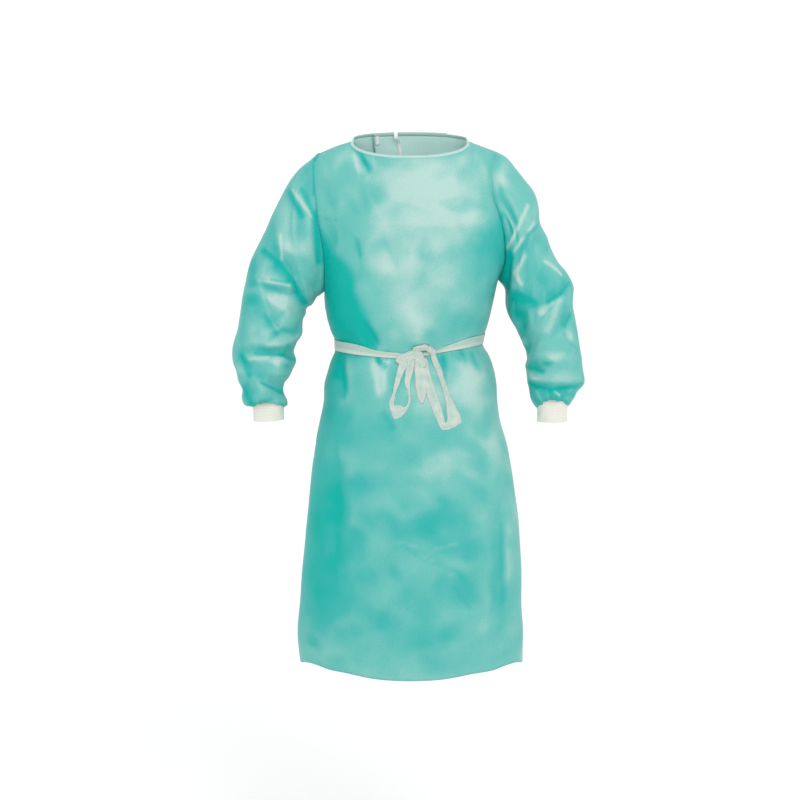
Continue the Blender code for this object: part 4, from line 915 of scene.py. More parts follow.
def mesh_piece(name, points, faces, materials, outs=None):
    """A new object at the origin, its faces turned to the way that outs gives."""
    mesh = bpy.data.meshes.new(name)
    mesh.from_pydata(points.reshape(-1, 3).tolist(), [], faces)
    made = bpy.data.objects.new(name, mesh)
    bpy.context.scene.collection.objects.link(made)
    for material in materials:
        mesh.materials.append(material)
    if outs is not None:
        outs = outs.reshape(-1, 3)
        if sum(face.normal.dot(outs[face.vertices[0]]) for face in mesh.polygons) < 0:
            mesh.flip_normals()
    mesh.shade_smooth()
    return made


def grid_faces(rows, columns, closed):
    """The squares of a grid, which is closed where its last column meets its first."""
    faces = []
    for i in range(rows - 1):
        for j in range(columns if closed else columns - 1):
            k = (j + 1) % columns
            faces.append(
                (i * columns + j, i * columns + k, (i + 1) * columns + k, (i + 1) * columns + j)
            )
    return faces


def add_attribute(made, name, values):
    attribute = made.data.attributes.new(name, "FLOAT", "POINT")
    attribute.data.foreach_set("value", np.asarray(values, np.float32).ravel())


def add_cloth_map(made, grid, closed):
    """A UV map in metres: across the cloth and up it, so that a pattern keeps its size."""
    across = run_along(grid, 1).mean(axis=0)
    above = run_along(grid).mean(axis=1)
    columns = grid.shape[1]
    girth = across[-1] * columns / (columns - 1)
    layer = made.data.uv_layers.new(name="cloth")
    places = np.zeros((len(made.data.loops), 2))
    for face in made.data.polygons:
        js = [made.data.loops[k].vertex_index % columns for k in face.loop_indices]
        wraps = closed and max(js) - min(js) > 1
        for k, j in zip(face.loop_indices, js):
            i = made.data.loops[k].vertex_index // columns
            places[k] = girth if wraps and j == 0 else across[j], above[i]
    layer.data.foreach_set("uv", places.ravel())


def select_only(made):
    bpy.ops.object.select_all(action="DESELECT")
    made.select_set(True)
    bpy.context.view_layer.objects.active = made


def thicken(made, thickness, inner_material):
    """Gives a shell its thickness on the inside."""
    select_only(made)
    wall = made.modifiers.new("wall", "SOLIDIFY")
    wall.thickness = thickness
    wall.offset = -1
    wall.material_offset = inner_material
    bpy.ops.object.modifier_apply(modifier=wall.name)


def stands_for(made, name):
    """Puts a finished piece on the frame, in place of its plain solid."""
    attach(made, "root")
    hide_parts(name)


def painted_light_mark_tones(points, marks):
    """What the marks of painted highlight and painted shade add to the tone of each point."""
    tone = np.zeros(points.shape[:2])
    for x0, z0, x1, z1, left, right, strength in marks.rows:
        run = np.array([x1 - x0, z1 - z0])
        length = np.linalg.norm(run)
        offset = points[..., [0, 2]] - np.array([x0, z0])
        along = offset @ run / length**2
        past = (along - clamped(along)) * length / (MARK_END + max(left, right) / 4)
        across = offset @ np.array([run[1], -run[0]]) / length
        across = across / np.where(across > 0, right, left)
        tone += strength * np.exp(-(across**2) - past**2)
    return tone


def tone_of(points, normals, fine, heights, marks, share):
    """How pale the cloth is: its own drifting clouds, with painted light where it faces out and up,
    painted highlights and painted shade in patches and marks, and painted shade down in the folds.
    """
    tone = np.full(points.shape[:2], TONE_PLAIN)
    for x, z, across, up, strength, side in CLOUDS_AND_PAINTED_SHADE.rows:
        near = ((points[..., 0] - x) / across) ** 2 + ((points[..., 2] - z) / up) ** 2
        tone = tone + strength * np.exp(-near) * facing(normals, side, TONE_FACING)
    for table, side in marks:
        strength = facing(normals, side, TONE_FACING) * (1 if side > 0 else BACK_SHARE)
        tone = tone + painted_light_mark_tones(points, table) * strength
    for strength, size in TONE_DRIFTS:
        tone = tone + strength * undulations(points, size)
    # Painted light on facets turned towards the light's way and painted shade on those turned from
    # it; raised cloth and crests are painted paler, troughs and creases darker.
    turned = (fine - normals) @ np.array(PAINTED_LIGHT_WAY)
    crest = heights - rounded(heights.copy(), False, PAINTED_LIGHT_CREST_ROUNDING)
    return tone + share * (PAINTED_LIGHT_TURN * turned + PAINTED_LIGHT_BY_HEIGHT * heights + PAINTED_LIGHT_ON_CRESTS * crest)


def lap_press(grid):
    """How far a back half lies down on the other one, along its free edge."""
    return LAP_PRESS * np.exp(-((run_along(grid, 1) / LAP_REACH) ** 2))


def belt_press(grid, side):
    """From 0 to 1, how much the belt presses each point of a panel."""
    table = BELT_FRONT if side > 0 else BELT_BACK
    middle, half = table.at("z", grid[..., 0]), table.at("half_width", grid[..., 0])
    return np.exp(-(((grid[..., 2] - middle) / (half + BELT_REACH)) ** 4))


def turned_in(points, normals, closed, sewn):
    """Adds the seam allowances, turned in along the sewn edges."""
    if closed:
        back = unit(points[0] - points[2]) * SEAM_TURN - normals[0] * SEAM_TURN / 3
        return np.concatenate([points[:1] + back, points])
    shoulder = SHOULDER_COLUMNS * COLUMN_FINE
    depth = np.full(points.shape[1], SEAM_TURN)
    depth[shoulder : len(depth) - shoulder] = EDGE_TURN
    if "first" not in sewn:
        depth[:-shoulder] = EDGE_TURN
    if "last" not in sewn:
        depth[shoulder:] = EDGE_TURN
    points = np.concatenate([points, points[-1:] - normals[-1:] * depth[None, :, None]])
    normals = np.concatenate([normals, normals[-1:]])
    if "first" in sewn:
        points = np.concatenate([points[:, :1] - normals[:, :1] * SEAM_TURN, points], axis=1)
    if "last" in sewn:
        points = np.concatenate([points, points[:, -1:] - normals[:, -1:] * SEAM_TURN], axis=1)
    return points


def cloth_piece(name, grid, closed, side, folds, creases, marks, sewn, sizes, materials):
    """One panel or sleeve: its form, its folds, its sewn edges and its thickness."""
    if closed:
        grid = drawn_up(settled(finer(grid, closed, sizes.ring_step, SLEEVE_FINE)))
    else:
        grid = settled(finer(grid, closed, sizes.row_step, COLUMN_FINE))
    normals = grid_normals(grid, closed)
    away = edge_distances(grid, closed, sewn)
    heights = np.zeros(grid.shape[:2])
    for table, way in folds:
        heights += fold_heights(grid, normals, table, way) * sizes.fold_share
    scatter = sizes.crumple * (1.0 if closed else PANEL_CRUMPLE)
    heights += facets(grid, normals, closed, creases, sizes.crumple_size, scatter)
    heights += SWELL[0] * undulations(grid, SWELL[1])
    if sewn == ("last",):
        heights -= lap_press(grid)
    heights *= ease(away / EDGE_FADE)
    if not closed:
        heights *= 1 - belt_press(grid, side)
    wave, near = gathers(grid) if closed else (0 * heights, 0 * heights)
    heights = heights * (1 - near) + wave
    fine = grid_normals(grid + normals * heights[..., None], closed)
    share = SLEEVE_TONE_SHARE if closed else 1.0
    tone = tone_of(grid, normals, fine, heights, marks, share) - GATHER_SHADE * near
    tone = tone + (SLEEVE_PALER if closed else 0)
    tone = tone - SEAM_SHADE * np.exp(-((away / (2 * sizes.seam_width)) ** 2))
    heights -= sizes.seam_depth * np.exp(-((away / sizes.seam_width) ** 2))
    points = grid + normals * heights[..., None]
    shell = turned_in(points, normals, closed, sewn)
    outs = grid_normals(shell, closed)
    made = mesh_piece(name, shell, grid_faces(*shell.shape[:2], closed), materials, outs)
    rows = (1, 0) if closed else (0, 1)
    sides = (0, 0) if closed else (int("first" in sewn), int("last" in sewn))
    add_attribute(made, "tone", np.pad(np.clip(tone, 0, 1), (rows, sides), mode="edge"))
    add_cloth_map(made, shell, closed)
    thicken(made, sizes.cloth, 1)
    return made, points


# Paler and deeper clouds on the cloth: painted highlights and painted shade, such as the pale chest
# and the shade down the sides of the body and the inner sides of the sleeves, along with the cloth's
# own clouding. The front is side 1 and the back is side -1.
CLOUDS_AND_PAINTED_SHADE = Table("x z across up strength side", [
    (0.02, -0.178, 0.114, 0.229, 0.37, 1),
    (0.03, -0.056, 0.094, 0.083, 0.12, 1),
    (-0.154, -0.066, 0.052, 0.073, 0.14, 1),
    (0.152, -0.097, 0.062, 0.062, 0.14, 1),
    (0.177, -0.229, 0.042, 0.058, -0.32, 1),
    (-0.005, -0.352, 0.067, 0.052, 0.18, 1),
    (-0.124, -0.229, 0.025, 0.062, -0.08, 1),
    (0.092, -0.383, 0.042, 0.029, -0.08, 1),
    (-0.195, -0.8, 0.073, 0.195, -0.42, 1),
    (-0.18, -0.535, 0.033, 0.077, -0.32, 1),
    (-0.067, -0.492, 0.025, 0.046, 0.22, 1),
    (0.119, -0.506, 0.046, 0.054, 0.4, 1),
    (0.165, -0.61, 0.052, 0.114, 0.2, 1),
    (0.061, -0.672, 0.058, 0.058, 0.13, 1),
    (0.03, -0.537, 0.046, 0.052, 0.26, 1),
    (0.062, -0.782, 0.05, 0.042, -0.24, 1),
    (-0.066, -0.786, 0.033, 0.025, 0.12, 1),
    (-0.12, -0.665, 0.058, 0.033, 0.12, 1),
    (0.213, -0.808, 0.025, 0.114, 0.2, 1),
    (-0.021, -1.099, 0.312, 0.048, 0.17, 1),
    (0.167, -1.04, 0.079, 0.054, 0.1, 1),
    (0.03, -1.016, 0.066, 0.027, -0.22, 1),
    (-0.021, -0.881, 0.187, 0.198, -0.03, 1),
    (-0.129, -0.846, 0.025, 0.029, -0.14, 1),
    (-0.156, -0.84, 0.029, 0.104, -0.1, 1),
    (-0.204, -0.913, 0.021, 0.05, -0.12, 1),
    (-0.073, -0.84, 0.033, 0.029, 0.08, 1),
    (-0.188, -1.057, 0.029, 0.025, 0.1, 1),
    (0.071, -0.107, 0.052, 0.046, 0.2, 1),
    (-0.052, -0.239, 0.029, 0.062, 0.12, 1),
    (0.122, -0.178, 0.031, 0.021, 0.08, 1),
    (0.045, -0.714, 0.054, 0.046, 0.14, 1),
    (-0.253, -0.198, 0.017, 0.067, 0.22, 1),
    (-0.23, -0.182, 0.008, 0.025, -0.25, 1),
    (-0.218, -0.221, 0.012, 0.017, 0.18, 1),
    (-0.284, -0.178, 0.008, 0.046, -0.1, 1),
    (-0.215, -0.054, 0.021, 0.046, -0.1, 1),
    (-0.33, -0.267, 0.01, 0.025, -0.38, 1),
    (-0.324, -0.299, 0.014, 0.009, -0.46, 1),
    (-0.326, -0.331, 0.019, 0.013, -0.46, 1),
    (-0.268, -0.337, 0.027, 0.025, 0.32, 1),
    (-0.315, -0.359, 0.012, 0.017, -0.1, 1),
    (-0.324, -0.399, 0.012, 0.029, 0.14, 1),
    (-0.349, -0.415, 0.008, 0.062, -0.14, 1),
    (-0.28, -0.421, 0.033, 0.017, 0.12, 1),
    (-0.247, -0.423, 0.006, 0.008, 0.14, 1),
    (-0.277, -0.461, 0.007, 0.008, 0.35, 1),
    (-0.258, -0.469, 0.008, 0.006, -0.25, 1),
    (-0.278, -0.5, 0.019, 0.015, 0.16, 1),
    (-0.297, -0.497, 0.006, 0.005, 0.14, 1),
    (-0.339, -0.51, 0.01, 0.008, -0.16, 1),
    (-0.26, -0.544, 0.004, 0.01, 0.1, 1),
    (-0.295, -0.529, 0.021, 0.012, 0.06, 1),
    (0.181, -0.087, 0.012, 0.019, 0.24, 1),
    (0.183, -0.12, 0.008, 0.017, -0.16, 1),
    (0.189, -0.16, 0.005, 0.008, -0.4, 1),
    (0.188, -0.184, 0.008, 0.017, -0.18, 1),
    (0.197, -0.205, 0.006, 0.008, -0.25, 1),
    (0.249, -0.208, 0.006, 0.01, 0.14, 1),
    (0.261, -0.227, 0.005, 0.015, 0.1, 1),
    (0.281, -0.229, 0.007, 0.01, -0.16, 1),
    (0.209, -0.244, 0.007, 0.01, -0.45, 1),
    (0.221, -0.267, 0.006, 0.019, 0.18, 1),
    (0.225, -0.333, 0.027, 0.015, -0.6, 1),
    (0.221, -0.363, 0.023, 0.015, -0.58, 1),
    (0.235, -0.393, 0.008, 0.017, -0.5, 1),
    (0.211, -0.372, 0.008, 0.008, 0.12, 1),
    (0.271, -0.357, 0.011, 0.007, 0.36, 1),
    (0.331, -0.409, 0.01, 0.015, 0.14, 1),
    (0.247, -0.433, 0.006, 0.008, -0.45, 1),
    (0.298, -0.449, 0.023, 0.009, 0.26, 1),
    (0.284, -0.463, 0.009, 0.004, -0.42, 1),
    (0.306, -0.492, 0.042, 0.015, 0.14, 1),
    (0.259, -0.496, 0.006, 0.004, 0.16, 1),
    (0.294, -0.531, 0.062, 0.015, -0.4, 1),
    (0.334, -0.521, 0.006, 0.003, 0.35, 1),
    (0.327, -0.537, 0.01, 0.004, 0.18, 1),
    (0.26, -0.157, 0.021, 0.033, 0.1, 1),
    (-0.06, -0.17, 0.11, 0.11, 0.3, -1),
    (0.09, -0.31, 0.07, 0.11, -0.3, -1),
    (-0.12, -0.33, 0.05, 0.09, -0.26, -1),
    (0.02, -0.54, 0.13, 0.08, 0.28, -1),
    (-0.14, -0.76, 0.06, 0.18, -0.28, -1),
    (0.15, -0.7, 0.07, 0.14, -0.22, -1),
    (0.02, -0.88, 0.12, 0.11, -0.12, -1),
    (0.0, -1.09, 0.24, 0.04, 0.12, -1),
])

# Marks along the creases, of painted highlights and glints and of painted shade in and under the
# folds: paler or darker from a line on, fading out on its left and on its right.
MARK_COLUMNS = "from_x from_z to_x to_z left right strength"
FRONT_PAINTED_LIGHT_MARKS = Table(MARK_COLUMNS, [
    (-0.1088, -0.0137, -0.0824, -0.0643, 0.0033, 0.0073, -0.3),
    (-0.0803, -0.0218, -0.0722, -0.0623, 0.0042, 0.0029, 0.1),
    (-0.1906, -0.2004, -0.1436, -0.2776, 0.0125, 0.0957, -0.62),
    (-0.1436, -0.2776, -0.0885, -0.4118, 0.0166, 0.0957, -0.8),
    (-0.1116, -0.3909, -0.0706, -0.432, 0.0029, 0.0083, -0.4),
    (-0.089, -0.3991, -0.0664, -0.4279, 0.0062, 0.0027, 0.22),
    (-0.1529, -0.4464, -0.1445, -0.486, 0.0029, 0.025, -0.44),
    (-0.1445, -0.486, -0.1355, -0.53, 0.0029, 0.0125, -0.24),
    (-0.1344, -0.4506, -0.1243, -0.5208, 0.0104, 0.0029, 0.14),
    (-0.0685, -0.4464, -0.05, -0.4691, 0.0029, 0.0062, -0.4),
    (-0.0747, -0.4547, -0.0645, -0.5249, 0.0062, 0.0073, 0.26),
    (-0.0459, -0.4382, -0.0541, -0.4753, 0.0031, 0.0062, -0.2),
    (-0.0521, -0.5622, -0.0336, -0.5912, 0.0042, 0.0104, -0.22),
    (0.0673, -0.4547, 0.0735, -0.4877, 0.0029, 0.0073, -0.24),
    (0.0878, -0.4423, 0.1023, -0.4547, 0.0029, 0.0042, -0.2),
    (-0.0316, -0.8248, 0.012, -0.8353, 0.003, 0.003, 0.15),
    (0.0203, -0.8542, 0.0515, -0.8668, 0.003, 0.003, 0.15),
    (0.0494, -0.8416, 0.095, -0.8311, 0.003, 0.003, 0.17),
    (0.0827, -0.8941, 0.091, -0.8962, 0.003, 0.003, 0.15),
    (0.1883, -0.7976, 0.1932, -0.9594, 0.0104, 0.0042, -0.14),
    (0.2009, -0.829, 0.2055, -0.9235, 0.0042, 0.0083, 0.08),
    (-0.0314, -0.1312, 0.0401, -0.1556, 0.0125, 0.0062, -0.05),
    (0.0401, -0.1556, 0.1321, -0.1394, 0.0062, 0.0125, -0.05),
    (-0.0519, -0.1719, 0.1219, -0.1719, 0.0062, 0.0062, 0.05),
    (0.0932, -0.9235, 0.1245, -0.9657, 0.0029, 0.0033, -0.1),
    (-0.1848, -0.1638, -0.1521, -0.1679, 0.0031, 0.0042, -0.12),
    (-0.0987, -0.0764, -0.0907, -0.1516, 0.0083, 0.0083, -0.1),
    (-0.1032, -0.2658, -0.0952, -0.3929, 0.0104, 0.0062, -0.08),
])
SLEEVE_RIGHT_PAINTED_LIGHT_MARKS = Table(MARK_COLUMNS, [
    (-0.199, -0.0409, -0.1991, -0.113, 0.0031, 0.0031, -0.4),
    (-0.1896, -0.114, -0.1897, -0.1675, 0.0052, 0.0042, -0.5),
    (-0.1959, -0.1552, -0.1888, -0.2541, 0.0073, 0.0062, -0.6),
    (-0.2526, -0.1068, -0.223, -0.1603, 0.0042, 0.0062, -0.5),
    (-0.2433, -0.1068, -0.204, -0.1587, 0.0027, 0.0031, 0.34),
    (-0.226, -0.1038, -0.2011, -0.1531, 0.0046, 0.0033, -0.36),
    (-0.2673, -0.1997, -0.2658, -0.2487, 0.0029, 0.0033, 0.28),
    (-0.3053, -0.2281, -0.2695, -0.2541, 0.0025, 0.0083, -0.6),
    (-0.2695, -0.2541, -0.2448, -0.2851, 0.0025, 0.0187, -0.72),
    (-0.2448, -0.2851, -0.2169, -0.3387, 0.0025, 0.0094, -0.8),
    (-0.3123, -0.2933, -0.251, -0.3016, 0.0029, 0.0033, 0.32),
    (-0.2853, -0.2912, -0.2448, -0.2964, 0.0025, 0.0017, -0.35),
    (-0.3043, -0.3272, -0.2903, -0.3604, 0.0031, 0.0031, 0.14),
    (-0.2982, -0.3635, -0.2744, -0.4016, 0.0021, 0.0104, -0.36),
    (-0.3206, -0.4428, -0.2633, -0.4446, 0.0027, 0.0031, -0.4),
    (-0.2679, -0.4442, -0.2352, -0.4591, 0.0033, 0.0046, -0.6),
    (-0.3397, -0.4558, -0.2949, -0.4494, 0.0025, 0.0029, 0.16),
    (-0.2949, -0.4494, -0.2638, -0.4535, 0.0025, 0.0025, 0.12),
    (-0.3523, -0.4475, -0.335, -0.4877, 0.0062, 0.0046, -0.46),
    (-0.3064, -0.5039, -0.2619, -0.5271, 0.0025, 0.0033, -0.5),
    (-0.3496, -0.5167, -0.3283, -0.554, 0.0067, 0.0071, -0.6),
    (-0.3304, -0.553, -0.2889, -0.5395, 0.0042, 0.0021, -0.3),
])
SLEEVE_LEFT_PAINTED_LIGHT_MARKS = Table(MARK_COLUMNS, [
    (0.1653, -0.0737, 0.1829, -0.1573, 0.0025, 0.0025, -0.18),
    (0.1617, -0.0955, 0.1793, -0.1511, 0.0025, 0.0031, 0.12),
    (0.2023, -0.2355, 0.1974, -0.3078, 0.0104, 0.0104, -0.6),
    (0.2413, -0.14, 0.2004, -0.2281, 0.0037, 0.0037, 0.55),
    (0.2362, -0.1428, 0.2166, -0.1902, 0.0019, 0.0033, -0.14),
    (0.254, -0.1745, 0.2431, -0.1902, 0.0031, 0.0031, 0.32),
    (0.232, -0.2061, 0.2132, -0.236, 0.0033, 0.0033, 0.42),
    (0.2642, -0.1789, 0.2415, -0.1974, 0.0029, 0.0021, -0.28),
    (0.2385, -0.2397, 0.2179, -0.2789, 0.005, 0.005, 0.24),
    (0.2164, -0.2743, 0.2293, -0.2995, 0.0037, 0.0037, 0.34),
    (0.278, -0.2539, 0.3131, -0.2807, 0.0021, 0.0033, 0.46),
    (0.332, -0.2997, 0.3132, -0.3187, 0.0031, 0.0031, -0.3),
    (0.3142, -0.3177, 0.2832, -0.3356, 0.0037, 0.0037, -0.48),
    (0.2853, -0.3346, 0.2452, -0.3491, 0.0021, 0.0021, -0.22),
    (0.2066, -0.3098, 0.2563, -0.3336, 0.0025, 0.0146, -0.32),
    (0.3004, -0.3375, 0.2688, -0.3739, 0.0021, 0.0021, -0.14),
    (0.3099, -0.3344, 0.2832, -0.3977, 0.0083, 0.0083, 0.18),
    (0.3355, -0.3629, 0.3213, -0.3867, 0.0033, 0.0037, -0.34),
    (0.3165, -0.3656, 0.3166, -0.4028, 0.0054, 0.0054, -0.12),
    (0.3245, -0.4183, 0.3453, -0.4341, 0.0021, 0.0025, -0.14),
    (0.237, -0.4732, 0.2743, -0.4794, 0.0042, 0.0046, -0.6),
    (0.2424, -0.5022, 0.2609, -0.5115, 0.0021, 0.0083, -0.45),
    (0.2609, -0.5115, 0.2962, -0.5177, 0.0021, 0.0073, -0.45),
    (0.3004, -0.5146, 0.3584, -0.5088, 0.0021, 0.0073, -0.45),
    (0.2973, -0.5204, 0.3095, -0.5296, 0.0025, 0.0025, 0.7),
    (0.2827, -0.5219, 0.288, -0.5395, 0.0023, 0.0023, 0.26),
    (0.261, -0.5219, 0.2714, -0.5374, 0.0023, 0.0023, 0.22),
])

BINDING_DEPTH = 0.0056
BINDING_UNDER = 0.0012  # how far it reaches down over the edge of the cloth
BINDING_EVEN = 12  # times that its tilt is evened out along the neck
BINDING_PUCKERS = (0.22, 0.04, 0.007)  # of its thickness and height, and their length
# One side of the binding's section, from its edge up: height, and width against its fold.
BINDING_SIDE = (
    (-BINDING_UNDER, 0.8),
    (0.0005, 1.0),
    (0.3 * BINDING_DEPTH, 1.12),
    (0.65 * BINDING_DEPTH, 1.05),
)
BINDING_TOP = (0.25, 0.75, 5, 1.1)  # half turns of its rounded top, its points and its width
TIE_WIDTH = 0.0085
TIE_WAVES = 0.012  # length of the waves of a tie's edges
TIE_CRIMP = 0.00035
TIE_SHORT_Z = (0.0100, -0.0075)
TIE_SHORT_POINTS = 8
TIE_SHORT_LIFT = 0.0008
TIE_INSET = 0.0070
TIE_LONG_X = (-0.0300, -0.0080)
TIE_LONG_DOWN = 0.230
TIE_LONG_SWAY = 0.0065  # how far aside it hangs half-way down
TIE_LONG_OUTSIDE = 0.0180
TIE_LONG_STEP = 0.0022
TIE_LIFT = 0.0020
TIE_NEAR = 0.014  # how far aside the binding is looked at, where the tie crosses it
TIE_PROBES = (0.006, 0.010, 0.014)  # below the neck edge, where the cloth's two faces are felt
TIE_TURN = (0.008, 0.003)  # how far below and above the neck edge the tie still runs straight
TIE_CORNER = (0.0004, 0.0006)  # how far in from the tie, and down from the top, it turns over
TIE_TOP = 0.0021
BEAD_BELOW = 0.0078  # from the tie's outer end to the middle of its knot
TAPE_ACROSS = 9  # points across a tape
BELT_LIFT = 0.0006
BELT_PINCH = 0.070  # distance from the knot over which the belt is gathered
BELT_PINCH_LIFT = 0.0006
BELT_RIPPLE = (0.0005, 0.019, 0.047)  # height, and the lengths of its two waves
BELT_PLEATS = 0.0011
BELT_DOUBLE = (0.42, 0.0005)  # share of the belt's width that lies double, and its height
BELT_FINE = 3
BOW_FINE = 7  # fine rows for each row of a bow's table
BOW_ACROSS = 15
BOW_WANDER = (0.0011, 0.008)  # how far the bow's edges stray, and over what length
BOW_CREASE = 0.0010
BOW_RIPPLE = (0.0010, 0.010)
BOW_LOWEST = -0.0002
BOW_MOTTLE = (0.5, 0.013)  # of its tone
KNOT_MIDDLE_X = 0.0168
KNOT_STEP = 0.0010
KNOT_MARGIN = 0.010
KNOT_LEAST = 0.0002  # height below which a knot has no cloth
BELT_KNOT = np.array([  # from_x, from_z, to_x, to_z, width and height of each turn
    (-0.0233, -0.453, 0.0137, -0.437, 0.007, 0.0048),
    (-0.025, -0.4565, 0.0199, -0.447, 0.0062, 0.0044),
    (-0.015, -0.45, -0.018, -0.464, 0.007, 0.0036),
    (-0.001, -0.452, -0.002, -0.464, 0.005, 0.0034),
    (0.0116, -0.433, 0.03, -0.429, 0.0078, 0.0074),
    (0.03, -0.429, 0.048, -0.44, 0.007, 0.0066),
    (0.011, -0.442, 0.02, -0.446, 0.008, 0.0078),
    (0.018, -0.446, 0.025, -0.464, 0.0085, 0.0062),
])
TIE_KNOT = np.array([
    (-0.005, 0.003, 0.0045, -0.002, 0.0042, 0.0036),
    (-0.0045, -0.003, 0.005, 0.003, 0.0036, 0.0042),
])
CUFF_ROWS = 22
CUFF_WALL = 0.0018
CUFF_TUCK = 0.016  # how far a cuff reaches up into its sleeve
CUFF_SLACK = (0.0006, 0.0004)  # heights of its two slow waves
CUFF_DRAWN_IN = 0.0007  # at its upper end, by the seam
CUFF_END = (6, 0.8)  # points round its rounded end, and how far that stands out
RIB_POINTS = 6  # points round a cuff for each rib


def surface_of(points):
    """The faces of a grid of points, to cast rays at."""
    corners = [Vector(p) for p in points.reshape(-1, 3).tolist()]
    return BVHTree.FromPolygons(corners, grid_faces(*points.shape[:2], False))


def cast(surface, start, way):
    """Where a ray meets a surface, and the way out of it on the ray's side."""
    place, normal, _, _ = surface.ray_cast(Vector(start), Vector(way))
    if place is None:
        raise RuntimeError(f"nothing lies behind {tuple(round(c, 3) for c in start)}")
    normal = np.array(normal)
    return np.array(place), normal * (-1 if normal @ np.array(way) > 0 else 1)


def strip_piece(name, grid, closed, outs, tone, sizes, materials):
    """A strip of tape on a grid of points, with its tone, its map and its thickness."""
    outs = np.broadcast_to(outs, grid.shape)
    made = mesh_piece(name, grid, grid_faces(*grid.shape[:2], closed), materials, outs)
    add_attribute(made, "tone", np.clip(np.broadcast_to(tone, grid.shape[:2]), 0, 1))
    add_cloth_map(made, grid, closed)
    thicken(made, sizes.tape, 0)
    return made


def tie_piece(name, middles, outs, edge_wave, sizes, materials):
    """A neck tie along a line of middles, its face turned to outs."""
    share = np.linspace(-0.5, 0.5, TAPE_ACROSS)
    ways = unit(np.cross(np.gradient(middles, axis=0), outs))
    width = TIE_WIDTH * (1 + edge_wave * undulations(middles, TIE_WAVES))
    across = width[:, None, None] * share[None, :, None] * ways[:, None, :]
    crimp = TIE_CRIMP * np.sin(share * 9)[None, :, None] * outs[:, None, :]
    grid = middles[:, None, :] + across + crimp
    tone = 0.75 + 0.5 * np.abs(share)[None]
    return strip_piece(name, grid, False, outs[:, None, :], tone, sizes, materials)


def binding_stations(edges):
    """Points of the neck edge with their outward ways and the way on up, evened out."""
    edge, out, below = (np.concatenate(parts) for parts in zip(*edges))
    ways = unit(np.gradient(edge, axis=0))
    rise = unit(edge - below)
    rise = unit(rise - np.sum(rise * ways, -1, keepdims=True) * ways)
    for _ in range(BINDING_EVEN):
        rise[1:-1] = unit(rise[:-2] + 2 * rise[1:-1] + rise[2:])
        out[1:-1] = unit(out[:-2] + 2 * out[1:-1] + out[2:])
    out = unit(out - np.sum(out * ways, -1, keepdims=True) * ways)
    lean = unit(rise + unit(np.cross(out, ways)))
    out = unit(out - np.sum(out * lean, -1, keepdims=True) * lean)
    return edge, out, lean


def neck_binding(edges, sizes, materials):
    """The folded strip over the neck edge, with a rounded top and slight puckers."""
    edge, out, lean = binding_stations(edges)
    middle = edge - out * sizes.cloth / 2
    half = sizes.cloth / 2 + sizes.tape
    first, last, count, width = BINDING_TOP
    turns = np.linspace(first, last, count) * math.pi
    top = [(BINDING_DEPTH - half + half * math.sin(t), math.cos(t) * width) for t in turns]
    section = [*BINDING_SIDE, *top, *((height, -side) for height, side in BINDING_SIDE[::-1])]
    thicker, higher, length = BINDING_PUCKERS
    pucker = undulations(edge, length)[:, None]
    rings = []
    for height, side in section:
        bulge = half * side * (1 + thicker * pucker)
        rings.append(middle + lean * height * (1 + higher * pucker) + out * bulge)
    grid = np.stack(rings, 1)
    rows, columns = grid.shape[:2]
    faces = grid_faces(rows, columns, True)
    faces += [tuple(range(columns))[::-1], tuple((rows - 1) * columns + j for j in range(columns))]
    made = mesh_piece("neck_binding_strip", grid, faces, materials)
    add_attribute(made, "tone", np.ones(grid.shape[:2]))
    along = run_along(edge)
    layer = made.data.uv_layers.new(name="cloth")
    for k, loop in enumerate(made.data.loops):
        i, j = divmod(loop.vertex_index, columns)
        layer.data[k].uv = along[i], section[j][0]
    point_out(made)
    return made


def point_out(made):
    """Turns a closed piece's faces outwards."""
    select_only(made)
    bpy.ops.object.mode_set(mode="EDIT")
    bpy.ops.mesh.select_all(action="SELECT")
    bpy.ops.mesh.normals_make_consistent(inside=False)
    bpy.ops.object.mode_set(mode="OBJECT")


def short_tie(within, free_edge, sizes, materials):
    """The free end that hangs inside, from the corner of the inner back half."""
    middles, outs = [], []
    for z in np.linspace(*TIE_SHORT_Z, TIE_SHORT_POINTS):
        x = height_point(free_edge, z)[0] + TIE_INSET
        place, out = cast(within, (x, 0, z), (0, 1, 0))
        middles.append(place + out * (TIE_SHORT_LIFT + sizes.tape))
        outs.append(out)
    return tie_piece("neck_tie_end", np.array(middles), np.array(outs), 0.1, sizes, materials)


